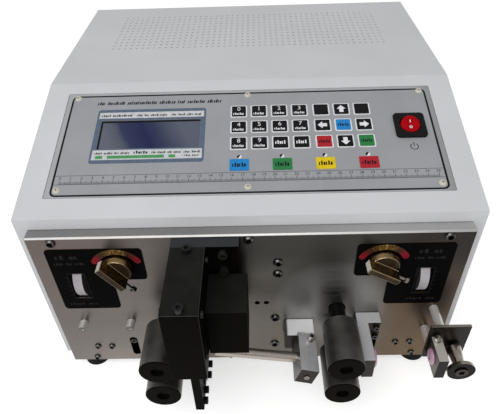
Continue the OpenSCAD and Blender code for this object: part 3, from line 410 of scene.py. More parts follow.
def overlay_look():
    """Printed film: grey inside the border line, paler outside it, with painted shade of the recess toning
    the margin down and darkening its right edge.
    """
    look = Look("overlay", (150, 153, 158), 0.0, 0.5, 0.25)
    place = look.vector("SUBTRACT", panel_place(look), (0.0, BORDER_MID * MM, 0.0))
    wide, tall, radius = BORDER
    straight = ((wide / 2 - radius) * MM, (tall / 2 - radius) * MM, 0.0)
    corner = look.vector("SUBTRACT", look.vector("ABSOLUTE", place), straight)
    reach = look.vector("LENGTH", look.vector("MAXIMUM", corner, (0.0, 0.0, 0.0)))
    outside = look.math("GREATER_THAN", reach, radius * MM)
    drift = look.noise(25.0, 3.0)
    inner = look.ramp(drift, (0.3, (148, 150, 154)), (0.7, (155, 157, 161)))
    # The margin is toned down as painted shade of the recess edge, and darker at the right edge as painted
    # shade of the recess wall
    margin = look.ramp(drift, (0.3, (162, 164, 167)), (0.7, (170, 172, 175)))
    margin = look.mix(look.spread(look.axis(place, 0), 0.0, 1.0, 0.172, 0.182), margin, (146, 147, 150))
    look.colour(look.mix(outside, inner, margin))
    look.rough(look.spread(drift, 0.42, 0.55))
    return look.bump(look.noise(1500.0, 2.0), 0.06, 0.05)


def display_look():
    """Glass of the display with a painted reflection across it: grey at the left, a slanting change to navy,
    then bluish grey.
    """
    look = Look("display", (95, 100, 115), 0.0, 0.2, 0.2)
    place = look.vector("SUBTRACT", panel_place(look), (DISPLAY[0] * MM, DISPLAY[1] * MM, 0.0))
    # Slanting painted reflection across the glass
    lean = look.math("MULTIPLY", look.axis(place, 1), 0.45)
    along = look.math("ADD", look.axis(place, 0), lean)
    drift = look.math("MULTIPLY", look.math("SUBTRACT", look.noise(45.0, 2.0), 0.5), 8.0 * MM)
    half = DISPLAY_SIZE[0] / 2 * MM
    fac = look.spread(look.math("ADD", along, drift), 0.0, 1.0, -half, half)
    look.colour(look.ramp(fac, (0.06, (94, 99, 111)), (0.19, (80, 85, 100)), (0.26, (46, 52, 86)),
                          (0.46, (31, 37, 74)), (0.58, (47, 54, 82)), (0.85, (88, 93, 108))))
    return look.rough(look.spread(look.noise(200.0), 0.14, 0.24))


def plate_look():
    """Brushed plate with painted light: painted reflection darkens it up and to the right around a painted
    bright spot, a painted reflection of the lip brightens its upper edge, and painted shade darkens its
    hollows and the inside of its slots.
    """
    look = Look("plate_metal", (130, 124, 118), 1.0, 0.34)
    place = look.vector("SUBTRACT", look.coords(), tuple(DATUM))
    side, depth, height = (look.axis(place, i) for i in range(3))
    drift = look.math("MULTIPLY", look.math("SUBTRACT", look.noise(9.0, 3.0, (1.0, 1.0, 2.0)), 0.5), 0.5)
    # Painted reflection: darker up the plate, and towards the right
    level = look.math("ADD", look.spread(height, 0.0, 1.0, 0.0, PLATE_H * MM), drift)
    rim = look.ramp(level, (0.0, (122, 115, 111)), (0.4, (108, 101, 97)), (0.9, (100, 91, 86)))
    left = look.ramp(level, (0.0, (138, 130, 124)), (0.4, (112, 106, 102)), (0.9, (98, 91, 88)))
    middle = look.ramp(level, (0.0, (112, 105, 96)), (0.4, (100, 96, 90)), (0.9, (61, 60, 57)))
    right = look.ramp(level, (0.0, (112, 93, 73)), (0.4, (86, 73, 59)), (0.9, (48, 44, 42)))
    front = look.mix(look.spread(side, 0.0, 1.0, -0.19, -0.15), rim, left)
    front = look.mix(look.spread(side, 0.0, 1.0, -0.10, 0.01), front, middle)
    front = look.mix(look.spread(side, 0.0, 1.0, 0.11, 0.15), front, right)
    # Painted highlight: a bright spot near the blocks
    away = look.vector("SUBTRACT", place, (GLOW[0] * MM, 0.0, GLOW[1] * MM))
    glow = look.vector("LENGTH", look.vector("MULTIPLY", away, (1.0, 0.0, 0.9)))
    near, far = (reach * MM for reach in GLOW_REACH)
    front = look.mix(look.spread(glow, 0.85, 0.0, near, far), front, (158, 157, 156))
    # Painted reflection of the cabinet lip on the plate's upper face
    upper = look.math("GREATER_THAN", height, PLATE_LIP * MM)
    lip = look.mix(look.spread(side, 0.0, 1.0, -0.05, 0.12), (160, 159, 158), (202, 201, 199))
    front = look.mix(look.math("MULTIPLY", upper, look.facing(2, 1, 0.35, 0.75)), front, lip)
    # Mask for the painted shade inside the slots
    inside = look.math("GREATER_THAN", depth, SLOT_FROM * MM)
    off_slot = look.math("SUBTRACT", look.math("ABSOLUTE", side), SLOT_X * MM)
    beside = look.math("LESS_THAN", look.math("ABSOLUTE", off_slot), SLOT_HALF * MM)
    above = look.math("GREATER_THAN", height, SLOT_SPAN[0] * MM)
    below = look.math("LESS_THAN", height, SLOT_SPAN[1] * MM)
    slot = look.math("MULTIPLY", look.math("MULTIPLY", inside, beside), look.math("MULTIPLY", below, above))
    # Painted shade in hollows around screws and parts, then inside the slots
    front = look.mix(look.cavity(3.0), (34, 31, 29), front)
    look.colour(look.mix(slot, front, (26, 23, 21)))
    brush = look.noise(900.0, 2.0, (0.03, 1.0, 1.0))
    look.rough(look.spread(brush, 0.30, 0.42))
    return look.bump(brush, 0.05, 0.04)


def milled_look():
    """Bare block painted as lit and shaded copies of one metal: bright on top with each piece's top lit to
    its own level, brown and dark in front as painted shade, grey at the sides, and lighter edges that are
    partly wear and partly painted highlight.
    """
    look = Look("block_metal", (150, 155, 158), 1.0, 0.32)
    drift = look.noise(70.0, 4.0, (1.0, 1.0, 6.0))
    side = look.ramp(drift, (0.3, (112, 111, 110)), (0.7, (134, 133, 132)))
    front = look.ramp(drift, (0.3, (38, 33, 28)), (0.7, (52, 46, 40)))
    place = look.vector("SUBTRACT", look.coords(), tuple(DATUM))
    across = look.axis(place, 0)
    # Painted light level of the top of each piece: swing block, fixed base, inlet, guide
    swing = look.ramp(drift, (0.3, (172, 173, 175)), (0.7, (188, 189, 191)))
    fixed = look.math("GREATER_THAN", look.axis(place, 1), SWING_BACK * MM)
    inlet = look.math("GREATER_THAN", across, INLET_FROM * MM)
    guide = look.math("GREATER_THAN", across, GUIDE_FROM * MM)
    top = look.mix(fixed, swing, (240, 241, 243))
    top = look.mix(inlet, top, (200, 201, 204))
    top = look.mix(guide, top, (180, 175, 169))
    # Lit top, shaded front and sides by facing: painted light and shade, with less metal and specular in
    # front
    upper = look.facing(2, 1, 0.75, 0.95)
    ahead = look.facing(1, -1, 0.75, 0.95)
    side = look.mix(guide, side, (84, 76, 68))
    front = look.mix(guide, front, (27, 23, 19))
    shade = look.mix(ahead, side, front)
    shade = look.mix(upper, shade, top)
    # Lighter edges: partly wear, partly painted highlight
    look.colour(look.mix(look.math("MULTIPLY", look.edge(), 0.5), shade, (200, 200, 202)))
    look.metal(look.spread(look.math("MAXIMUM", upper, ahead), 1.0, 0.25, 0.0, 1.0))
    look.spec(look.spread(ahead, 0.5, 0.08, 0.0, 1.0))
    look.rough(look.spread(drift, 0.26, 0.36))
    return look.bump(look.noise(700.0, 2.0, (1.0, 1.0, 6.0)), 0.05, 0.05)


def black_look():
    """Blackened steel: a little lighter on top as painted light, a painted slate sheen on top of the base
    plate, and lighter edges that are partly wear and partly painted highlight.
    """
    look = Look("black_oxide", (16, 15, 14), 0.0, 0.42, 0.05)
    drift = look.noise(70.0, 4.0)
    deep = look.ramp(drift, (0.3, (6, 5, 4)), (0.7, (11, 10, 8)))
    top = look.ramp(drift, (0.3, (24, 24, 23)), (0.7, (31, 31, 30)))
    behind = look.math("GREATER_THAN", look.axis(look.coords(), 1), DATUM.y + HOUSING_BACK * MM)
    # Painted slate sheen on the top of the base plate, lighter tops as painted light
    top = look.mix(behind, top, (50, 52, 55))
    upper = look.facing(2, 1, 0.75, 0.95)
    shade = look.mix(upper, deep, top)
    # Lighter edges: partly wear, partly painted highlight
    look.colour(look.mix(look.math("MULTIPLY", look.edge(), 0.7), shade, (104, 102, 99)))
    look.spec(look.spread(upper, 0.01, 0.06, 0.0, 1.0))
    look.rough(look.spread(drift, 0.36, 0.5))
    return look.bump(look.noise(1100.0, 2.0), 0.05, 0.05)


def roller_look():
    """Dark roller with a fine straight knurl around it, its ends and bore painted near black as shade."""
    look = Look("roller_metal", (70, 70, 70), 0.9, 0.35)
    place = look.centred()
    turn = look.math("ARCTAN2", look.axis(place, 0), look.axis(place, 2))
    knurl = look.math("SINE", look.math("MULTIPLY", turn, 110.0))
    off_axis = look.vector("LENGTH", look.vector("MULTIPLY", place, (1.0, 0.0, 1.0)))
    # Painted shade on the ends and inside the bore
    bore = look.math("LESS_THAN", off_axis, 0.3)
    end = look.math("MAXIMUM", bore, look.facing(1, -1, 0.1, 0.5))
    drift = look.noise(120.0, 3.0)
    side = look.ramp(drift, (0.3, (100, 98, 95)), (0.7, (108, 106, 102)))
    look.colour(look.mix(end, side, look.ramp(drift, (0.3, (9, 7, 6)), (0.7, (15, 13, 11)))))
    look.metal(look.spread(end, 0.9, 0.0, 0.0, 1.0))
    look.spec(look.spread(end, 0.5, 0.01, 0.0, 1.0))
    look.rough(look.spread(drift, 0.32, 0.44))
    return look.bump(look.math("MULTIPLY", knurl, look.math("SUBTRACT", 1.0, end)), 0.25, 0.15)


def brass_look():
    """Turned brass: painted shade darkens the front, painted light brightens the side, painted highlights
    brighten the edges and a painted reflection makes the left end silvery.
    """
    look = Look("brass", (150, 130, 90), 1.0, 0.3)
    end = look.facing(1, -1, 0.82, 0.95)
    drift = look.noise(90.0, 3.0, (1.0, 2.0, 1.0))
    bright = look.ramp(drift, (0.3, (146, 121, 80)), (0.7, (166, 141, 100)))
    # Front darkened as painted shade, side brightened as painted light
    front_shade = look.ramp(drift, (0.3, (42, 33, 23)), (0.7, (57, 46, 32)))
    shade = look.mix(end, bright, front_shade)
    # Painted reflection on the left end of the bar, in front of the collar
    normal = look.add("ShaderNodeTexCoord").outputs["Normal"]
    left_end = look.spread(look.vector("DOT_PRODUCT", normal, (-0.73, 0.0, 0.67)), 0.0, 1.0, 0.88, 0.96)
    ahead = look.math("LESS_THAN", look.axis(look.coords(), 1), DATUM.y + COLLAR_FRONT * MM)
    silver = look.math("MULTIPLY", left_end, ahead)
    shade = look.mix(silver, shade, (226, 222, 212))
    # Painted highlight along the edges
    line = look.math("MULTIPLY", look.facing(1, -1, 0.35, 0.55), look.math("SUBTRACT", 1.0, end))
    look.colour(look.mix(look.math("MULTIPLY", line, 0.85), shade, (224, 202, 162)))
    look.metal(look.spread(look.math("MAXIMUM", silver, end), 1.0, 0.3, 0.0, 1.0))
    look.spec(look.spread(end, 0.5, 0.06, 0.0, 1.0))
    look.rough(look.spread(look.noise(260.0), 0.22, 0.36))
    return look.bump(look.noise(900.0, 2.0), 0.05, 0.05)


def screw_look(name, level, reach):
    """Plated screws at a painted light level, greyer in front and dark in their sockets as painted shade; the
    cap of the spool is dark.
    """
    look = Look(name, (190, 186, 180), 1.0, 0.22)
    drift = look.noise(160.0, 4.0)

    def tone(*colour):
        return tuple(level * c for c in colour)

    bright = look.ramp(drift, (0.3, tone(176, 172, 165)), (0.7, tone(206, 202, 196)))
    front = look.ramp(drift, (0.3, tone(112, 107, 101)), (0.7, tone(138, 132, 126)))
    # Painted shade on the front and in the sockets
    shade = look.mix(look.facing(1, -1, 0.7, 0.95), bright, front)
    shade = look.mix(look.cavity(reach), (44, 40, 37), shade)
    place = look.vector("SUBTRACT", look.coords(), tuple(DATUM))
    beyond = look.math("GREATER_THAN", look.axis(place, 0), SPOOL_CAP_FROM * MM)
    ahead = look.math("LESS_THAN", look.axis(place, 1), 0.0)
    look.colour(look.mix(look.math("MULTIPLY", beyond, ahead), shade, (46, 40, 35)))
    return look.rough(look.spread(drift, 0.16, 0.28))


def bracket_look():
    """Dark bent steel with a painted highlight along its upper edge."""
    look = Look("dark_steel", (34, 29, 24), 0.8, 0.3, 0.2)
    drift = look.noise(60.0, 4.0)
    deep = look.ramp(drift, (0.3, (22, 18, 15)), (0.7, (36, 31, 26)))
    look.colour(look.mix(look.facing(2, 1, 0.6, 0.9), deep, (150, 141, 131)))
    return look.rough(look.spread(drift, 0.22, 0.36))


def post_look():
    """Turned steel post with its end painted darker as shade."""
    look = Look("post_steel", (225, 221, 217), 0.5, 0.26)
    drift = look.noise(40.0, 4.0, (3.0, 0.4, 3.0))
    side = look.ramp(drift, (0.3, (218, 214, 210)), (0.7, (232, 228, 224)))
    look.colour(look.mix(look.facing(1, -1, 0.6, 0.9), side, (92, 88, 84)))
    return look.rough(look.spread(drift, 0.22, 0.30))


def pale_screw_look():
    """Pale plated screws of the panel with painted shade in their cross."""
    look = Look("pale_screw", (204, 200, 186), 0.0, 0.4, 0.3)
    drift = look.noise(300.0, 3.0)
    head = look.ramp(drift, (0.3, (198, 194, 180)), (0.7, (210, 206, 192)))
    look.colour(look.mix(look.cavity(1.6), (92, 86, 74), head))
    return look.rough(look.spread(drift, 0.35, 0.45))


def spool_look():
    """Polished spool with its face painted dark as shade."""
    look = Look("spool_steel", (150, 140, 128), 1.0, 0.2)
    drift = look.noise(110.0, 4.0, (1.0, 3.0, 1.0))
    side = look.ramp(drift, (0.3, (150, 141, 130)), (0.7, (190, 181, 170)))
    face = look.facing(1, -1, 0.6, 0.9)
    look.colour(look.mix(face, side, (25, 21, 18)))
    look.metal(look.spread(face, 1.0, 0.1, 0.0, 1.0))
    look.spec(look.spread(face, 0.5, 0.04, 0.0, 1.0))
    return look.rough(look.spread(drift, 0.12, 0.24))


def wheel_look():
    """White wheel with cross ribs around its rim."""
    look = Look("white_plastic", (225, 220, 230), 0.0, 0.4, 0.3)
    place = look.centred()
    turn = look.math("ARCTAN2", look.axis(place, 1), look.axis(place, 2))
    ribs = look.math("SINE", look.math("MULTIPLY", turn, 72.0))
    tone = look.math("ADD", look.math("MULTIPLY", ribs, 0.12), look.noise(80.0))
    rim = look.ramp(tone, (0.3, (154, 150, 154)), (0.7, (174, 170, 174)))
    flank = look.math("MAXIMUM", look.facing(0, 1), look.facing(0, -1))
    look.colour(look.mix(flank, rim, (74, 70, 72)))
    look.rough(look.spread(look.noise(120.0), 0.35, 0.45))
    return look.bump(ribs, 0.3, 0.2)


def band_look():
    """Printed band of a dial: red ends, gold foil with bright streaks in the middle."""
    look = Look("dial_band", (150, 30, 36), 0.0, 0.35, 0.04)
    place = look.add("ShaderNodeTexCoord").outputs["Object"]
    across = look.math("SUBTRACT", look.math("ABSOLUTE", look.axis(place, 0)), BAND_CENTRE[0] * MM)
    high = look.math("SUBTRACT", look.axis(place, 2), DATUM.z + BAND_CENTRE[1] * MM)
    turn = look.math("ARCTAN2", across, high)
    wave = look.math("SINE", look.math("MULTIPLY", turn, 46.0))
    streak = look.math("ADD", look.math("MULTIPLY", wave, 0.07), look.noise(330.0, 3.0))
    gold = look.ramp(streak, (0.3, (62, 42, 20)), (0.55, (110, 84, 44)), (0.8, (176, 146, 90)))
    brown = look.ramp(streak, (0.3, (48, 31, 20)), (0.7, (74, 48, 30)))
    away = look.math("ABSOLUTE", turn)
    foil = look.mix(look.spread(away, 0.0, 1.0, math.radians(12), math.radians(32)), gold, brown)
    red = look.ramp(look.noise(300.0), (0.3, (108, 16, 27)), (0.7, (128, 25, 36)))
    look.colour(look.mix(look.spread(away, 0.0, 1.0, math.radians(38), math.radians(52)), foil, red))
    return look.rough(look.spread(look.noise(150.0), 0.3, 0.45))


def ink(name, colour, rough=(0.42, 0.52), spec=0.12):
    """Print or film of one colour with a slight drift."""
    dark = tuple(c * 0.95 for c in colour)
    light = tuple(min(c * 1.05, 255.0) for c in colour)
    return worn(name, dark, light, 0.0, rough, 220.0, spec=spec).mat


LOOKS = {
    "paint": paint_look(),
    "plain_sheet": worn("plain_sheet", (150, 152, 152), (172, 174, 174), 1.0, (0.38, 0.5), 30.0),
    "plate_metal": plate_look(),
    "block_metal": milled_look(),
    "rubber": worn("rubber", (17, 16, 16), (26, 25, 25), 0.0, (0.7, 0.85), 200.0, spec=0.1,
                   grain=(1500.0, 0.2, 0.1)),
    "overlay": overlay_look(),
    "display": display_look(),
    "pale_screw": pale_screw_look(),
    "black_plastic": worn("black_plastic", (16, 15, 15), (24, 23, 23), 0.0, (0.4, 0.5), 150.0, spec=0.12,
                          grain=(1800.0, 0.08, 0.05)),
    "red_plastic": worn("red_plastic", (150, 8, 16), (170, 12, 22), 0.0, (0.24, 0.32), 150.0, spec=0.03),
    "circuit": worn("circuit", (20, 82, 48), (28, 100, 60), 0.0, (0.35, 0.5), 90.0),
    "supply_case": worn("supply_case", (158, 160, 160), (178, 180, 180), 1.0, (0.35, 0.5), 40.0),
    "steel": worn("steel", (160, 152, 144), (174, 166, 158), 1.0, (0.22, 0.30), 40.0, (0.4, 3.0, 3.0)),
    "nickel": screw_look("nickel", 1.1, 1.2),
    "dial": worn("dial", (4, 4, 4), (8, 8, 8), 0.0, (0.35, 0.5), 40.0, spec=0.01,
                 grain=(900.0, 0.04, 0.04)),
    "brass": brass_look(),
    "motor": worn("motor", (34, 34, 36), (46, 46, 48), 0.0, (0.4, 0.55), 60.0),
    "black_oxide": black_look(),
    "roller_metal": roller_look(),
    "white_plastic": wheel_look(),
    "blade_steel": worn("blade_steel", (150, 150, 152), (186, 186, 188), 1.0, (0.2, 0.3), 300.0,
                        (1.0, 1.0, 0.1)),
    "ceramic": worn("ceramic", (180, 140, 161), (198, 160, 180), 0.0, (0.14, 0.22), 120.0),
    "dark_steel": bracket_look(),
}
# Copies of the screws at painted light levels: the plate screws much darker and the knob screws darker as
# painted shade, the conduit screw brighter as painted light
SCREW_LOOK = screw_look("plate_screw", 0.5, 2.5)
KNOB_SCREW_LOOK = screw_look("knob_screw", 0.78, 1.5)
BRIGHT_SCREW_LOOK = screw_look("bright_screw", 1.15, 3.0)
POST_LOOK = post_look()
SPOOL_LOOK = spool_look()
DARK_ROD = worn("dark_rod", (11, 10, 9), (17, 16, 15), 0.0, (0.3, 0.4), 90.0, spec=0.04)
CAP_LOOK = worn("cap_screw", (20, 19, 19), (34, 33, 32), 0.1, (0.25, 0.35), 160.0, spec=0.2)

BLACK_INK = ink("black_ink", (20, 20, 22))
WHITE_INK = ink("white_ink", (222, 223, 225))
SLATE_INK = ink("slate_ink", (90, 103, 122))
LABEL_INK = ink("label_ink", (196, 198, 200))
BLUE_KEY = ink("blue_key", (37, 128, 194), (0.35, 0.45))
RED_KEY = ink("red_key", (170, 36, 46), (0.35, 0.45))
GREEN_KEY = ink("green_key", (46, 122, 69), (0.35, 0.45))
YELLOW_KEY = ink("yellow_key", (218, 190, 28), (0.35, 0.45))
GREEN_INK = ink("green_ink", (74, 146, 88))
RULER_INK = ink("ruler_ink", (44, 46, 50))
FAINT_INK = ink("faint_ink", (38, 36, 34), spec=0.015)
BAND_INK = band_look().mat

# Pieces that look different from the others of their material
NODE_LOOKS = {
    "guide_posts": POST_LOOK,
    "guide_spool": SPOOL_LOOK,
    "plate_screws": SCREW_LOOK,
    "left_knob_screw": KNOB_SCREW_LOOK,
    "right_knob_screw": KNOB_SCREW_LOOK,
    "conduit_screw": BRIGHT_SCREW_LOOK,
    "swing_solenoid": LOOKS["black_oxide"],
    "cutter_screws": CAP_LOOK,
    "solenoid_plunger": DARK_ROD,
    "blade_screws": DARK_ROD,
    "left_upper_shaft": DARK_ROD,
    "left_lower_shaft": DARK_ROD,
    "right_upper_shaft": DARK_ROD,
    "right_lower_shaft": DARK_ROD,
}

for name, node in nodes.items():
    key = node.data.materials[0].name.split(".")[0]
    node.data.materials[0] = NODE_LOOKS.get(name, LOOKS[key]).mat


# Rounded edges on the solids

def soften(names, width, segments=2, angle=32.0):
    """Small round on the sharp edges of CAD pieces, width in millimetres."""
    for name in names:
        node = nodes[name]
        weld = node.modifiers.new("weld", "WELD")
        weld.merge_threshold = 2e-6
        flat = node.modifiers.new("flat", "DECIMATE")
        flat.decimate_type = "DISSOLVE"
        flat.angle_limit = math.radians(0.6)
        bevel = node.modifiers.new("edges", "BEVEL")
        bevel.width = width * MM
        bevel.segments = segments
        bevel.limit_method = "ANGLE"
        bevel.angle_limit = math.radians(angle)
        bevel.use_clamp_overlap = False
        normals = node.modifiers.new("normals", "WEIGHTED_NORMAL")
        normals.keep_sharp = True


soften(["cutter_housing", "cutter_base", "swing_solenoid", "swing_block", "conduit_base", "inlet_bracket",
        "guide_bar", "lower_blade_carrier", "upper_blade_carrier"], 0.5)
soften(["left_knob", "right_knob"], 0.6)
soften(["guide_bracket", "guide_posts", "cutter_screws", "plate_screws", "conduit_screw",
        "guide_screws"], 0.25)
soften(["left_upper_roller", "left_lower_roller", "right_upper_roller", "right_lower_roller"], 0.4)
soften(["switch_housing", "switch_rocker", "front_plate"], 0.4)


# Printed panel

BORDER_LINE = 1.9
RULER = (38.0, 48.5)
RULER_HALF = 180.0
RULER_LINE = 0.4
RULER_ZERO = -175.0
RULER_CM = 35
DIGIT_ROW = 45.6
DIGIT_SIZE = 4.2
TICKS = {10: (4.6, 0.46), 5: (3.4, 0.38), 1: (2.4, 0.33)}
KEY_COLUMNS = [-8.9, 11.4, 31.7, 52.0, 73.8, 94.1, 114.4]
KEY_ROWS = [125.6, 104.6, 83.6]
KEY_SIZE = (14.0, 13.5)
KEY_CORNER = 0.8
KEY_FRAME = 1.4
FRAME_CORNER = 1.8
FRAME_PLAY = 0.1
BIG_KEYS = [-8.2, 32.3, 72.8, 113.3]
BIG_ROW = 57.0
BIG_SIZE = (18.0, 13.5)
LAMP_ROW = 66.9
LAMP_D = 4.4
LAMP_SPLIT = 60
CAP_SKIN = 0.06
CAP = KEY_TOP + CAP_SKIN
ON_FILM = (FILM, FILM + INK)
ON_LABEL = (FILM + 2 * INK, FILM + 3 * INK)
ON_CAP = (CAP, CAP + INK)
STROKES = (0.72, 1.0, 0.7, 0.74, 0.98, 0.7, 0.72)
TITLE_X = (-155.0, -27.0)
TITLE_ROW = 139.0
TITLE_H = 4.6
TITLE_LEAN = 0.25
TITLE_WORDS = (4, 9, 15, 8, 4, 9, 7)
DISPLAY_FRAME = (-97.0, 97.0, 110.0, 70.0, 3.0)
DISPLAY_PLAY = 0.1
SHADE_TOP = 2.5
SHADE_LEFT = 1.9
LABEL_X = (-150.0, -44.0)
LABEL_ROWS = ((120.0, 128.0), (66.5, 78.5))
# Strokes on the labels: from and to across, foot, height, strokes in each word
LABEL_MARKS = (
    (-147.5, -116.0, 122.2, 3.0, (5, 11)),
    (-112.0, -81.0, 122.2, 2.8, (4, 3, 5, 5)),
    (-77.0, -46.5, 122.2, 2.8, (4, 5, 5, 5)),
    (-147.5, -113.5, 73.4, 2.6, (5, 6, 3, 6)),
    (-110.0, -96.0, 73.4, 3.6, (6,)),
    (-92.5, -64.5, 73.4, 2.6, (3, 6, 4, 5)),
    (-61.5, -46.0, 73.4, 2.6, (4, 5)),
    (-60.5, -47.0, 69.2, 2.2, (4, 4)),
)
LABEL_BARS = ((-146.3, -139.3), (-135.0, -80.2), (-75.7, -69.4))
LABEL_BAR_ROW = (67.9, 71.5)


def marks(bm, x0, x1, y, tall, words, level, lean=0.0):
    """A line of words from x0 to x1, each word a number of short strokes."""
    pitch = (x1 - x0) / (sum(words) + len(words) - 1)
    x, count = x0, 0
    for strokes in words:
        for _ in range(strokes):
            top = y + tall * STROKES[count % len(STROKES)]
            wide = pitch * (0.5 + 0.16 * (count % 3))
            shift = lean * (top - y)
            prism(bm, [(x, y), (x + wide, y), (x + wide + shift, top), (x + shift, top)], *level)
            x += pitch
            count += 1
        x += pitch


bm = bmesh.new()
wide, tall, radius = BORDER
ring(bm, rounded(0, BORDER_MID, wide, tall, radius),
     rounded(0, BORDER_MID, wide - 2 * BORDER_LINE, tall - 2 * BORDER_LINE, radius - BORDER_LINE), *ON_FILM)
marks(bm, *TITLE_X, TITLE_ROW, TITLE_H, TITLE_WORDS, ON_FILM, lean=TITLE_LEAN)
piece("panel_border", bm, PANEL, BLACK_INK)

bm = bmesh.new()
for line in (RULER[0], RULER[1] - RULER_LINE):
    prism(bm, rect(-RULER_HALF, line, RULER_HALF, line + RULER_LINE), *ON_FILM)
for step in range(10 * RULER_CM + 1):
    tall, wide = TICKS[10 if step % 10 == 0 else (5 if step % 5 == 0 else 1)]
    x = RULER_ZERO + step
    foot = RULER[0] + RULER_LINE
    prism(bm, rect(x - wide / 2, foot, x + wide / 2, foot + tall), *ON_FILM)
for cm in range(RULER_CM + 1):
    write(bm, str(cm), RULER_ZERO + 10 * cm, DIGIT_ROW, DIGIT_SIZE, *ON_FILM)
piece("panel_ruler", bm, PANEL, RULER_INK)

bm = bmesh.new()
wide, tall = (size + 2 * DISPLAY_PLAY for size in DISPLAY_SIZE)
ring(bm, rounded(*DISPLAY_FRAME), rounded(*DISPLAY, wide, tall, 0.2), *ON_FILM)
piece("panel_display_frame", bm, PANEL, SLATE_INK)

bm = bmesh.new()
for low, high in LABEL_ROWS:
    prism(bm, rect(LABEL_X[0], low, LABEL_X[1], high), FILM + INK, FILM + 2 * INK)
piece("panel_display_labels", bm, PANEL, LABEL_INK)

# Shade of the frame on the glass, along the top and the left, and the strokes on the labels
bm = bmesh.new()
half_wide, half_tall = (size / 2 - DISPLAY_PLAY for size in DISPLAY_SIZE)
left, right = DISPLAY[0] - half_wide, DISPLAY[0] + half_wide
low, high = DISPLAY[1] - half_tall, DISPLAY[1] + half_tall
prism(bm, rect(left, high - SHADE_TOP, right, high), GLASS, GLASS + INK)
prism(bm, rect(left, low, left + SHADE_LEFT, high - SHADE_TOP), GLASS, GLASS + INK)
for x0, x1, foot, tall, words in LABEL_MARKS:
    marks(bm, x0, x1, foot, tall, words, ON_LABEL)
piece("panel_display_shade_and_marks", bm, PANEL, BLACK_INK)

bm = bmesh.new()
for x0, x1 in LABEL_BARS:
    prism(bm, rect(x0, LABEL_BAR_ROW[0], x1, LABEL_BAR_ROW[1]), *ON_LABEL)
piece("panel_display_bars", bm, PANEL, GREEN_INK)

bm = bmesh.new()
for x in KEY_COLUMNS:
    for s in KEY_ROWS:
        w, h = KEY_SIZE
        ring(bm, rounded(x, s, w + 2 * KEY_FRAME, h + 2 * KEY_FRAME, FRAME_CORNER),
             rounded(x, s, w + FRAME_PLAY, h + FRAME_PLAY, KEY_CORNER), *ON_FILM)
piece("panel_key_frames", bm, PANEL, WHITE_INK)

CAPS = {"black": (BLACK_INK, []), "blue": (BLUE_KEY, []), "red": (RED_KEY, []), "green": (GREEN_KEY, []),
        "yellow": (YELLOW_KEY, [])}
# Coloured keys, digits and arrows by column and row
SPECIAL = {(5, 1): "blue", (4, 2): "red", (6, 2): "green"}
DIGITS = {(0, 0): "0", (1, 0): "1", (2, 0): "2", (3, 0): "3", (0, 1): "4", (1, 1): "5", (2, 1): "6",
          (3, 1): "7", (0, 2): "8", (1, 2): "9"}
ARROWS = {(5, 0): 0, (4, 1): 90, (6, 1): -90, (5, 2): 180}
WORDED = ((2, 2), (3, 2))
# Print on a key about its middle: half width, foot and height of a word, height and size of a digit
DIGIT_WORD = (5.6, -5.0, 3.0)
KEY_WORD = (5.2, -2.2, 4.4)
COLOUR_WORD = (5.4, -2.0, 4.0)
BIG_WORD = (6.6, -2.6, 5.2)
KEY_DIGIT = (3.0, 7.2)
for c, x in enumerate(KEY_COLUMNS):
    for r, s in enumerate(KEY_ROWS):
        CAPS[SPECIAL.get((c, r), "black")][1].append((x, s) + KEY_SIZE)
for x, hue in zip(BIG_KEYS, ("blue", "green", "yellow", "red")):
    CAPS[hue][1].append((x, BIG_ROW) + BIG_SIZE)
for hue, (material, spots) in CAPS.items():
    bm = bmesh.new()
    for x, s, w, h in spots:
        prism(bm, rounded(x, s, w + CAP_SKIN, h + CAP_SKIN, KEY_CORNER), FILM, CAP)
    piece("panel_keys_" + hue, bm, PANEL, material)


def arrow(cx, cy, angle):
    """Broad arrow about a centre, turned anticlockwise from straight up."""
    shape = [(-2.1, -4.3), (2.1, -4.3), (2.1, 0.2), (4.5, 0.2), (0.0, 4.9), (-4.5, 0.2), (-2.1, 0.2)]
    c, s = math.cos(math.radians(angle)), math.sin(math.radians(angle))
    return [(cx + x * c - y * s, cy + x * s + y * c) for x, y in shape]


def word(bm, x, s, form, strokes):
    """One word of strokes on the key whose middle is at x, s."""
    half, foot, tall = form
    marks(bm, x - half, x + half, s + foot, tall, (strokes,), ON_CAP)


bm = bmesh.new()
for (c, r), digit in DIGITS.items():
    x, s = KEY_COLUMNS[c], KEY_ROWS[r]
    write(bm, digit, x, s + KEY_DIGIT[0], KEY_DIGIT[1], *ON_CAP)
    word(bm, x, s, DIGIT_WORD, 7)
for (c, r), angle in ARROWS.items():
    prism(bm, arrow(KEY_COLUMNS[c], KEY_ROWS[r], angle), *ON_CAP)
for c, r in WORDED:
    word(bm, KEY_COLUMNS[c], KEY_ROWS[r], KEY_WORD, 5)
piece("panel_key_marks", bm, PANEL, WHITE_INK)

bm = bmesh.new()
for c, r in SPECIAL:
    word(bm, KEY_COLUMNS[c], KEY_ROWS[r], COLOUR_WORD, 6)
for x in BIG_KEYS:
    word(bm, x, BIG_ROW, BIG_WORD, 6)
    prism(bm, fan(x, LAMP_ROW, LAMP_D, LAMP_SPLIT, LAMP_SPLIT + 180, 12), *ON_FILM)
piece("panel_dark_marks", bm, PANEL, BLACK_INK)

bm = bmesh.new()
for x in BIG_KEYS:
    prism(bm, fan(x, LAMP_ROW, LAMP_D, LAMP_SPLIT - 180, LAMP_SPLIT, 12), *ON_FILM)
piece("panel_lamp_marks", bm, PANEL, WHITE_INK)

# Power sign below the switch

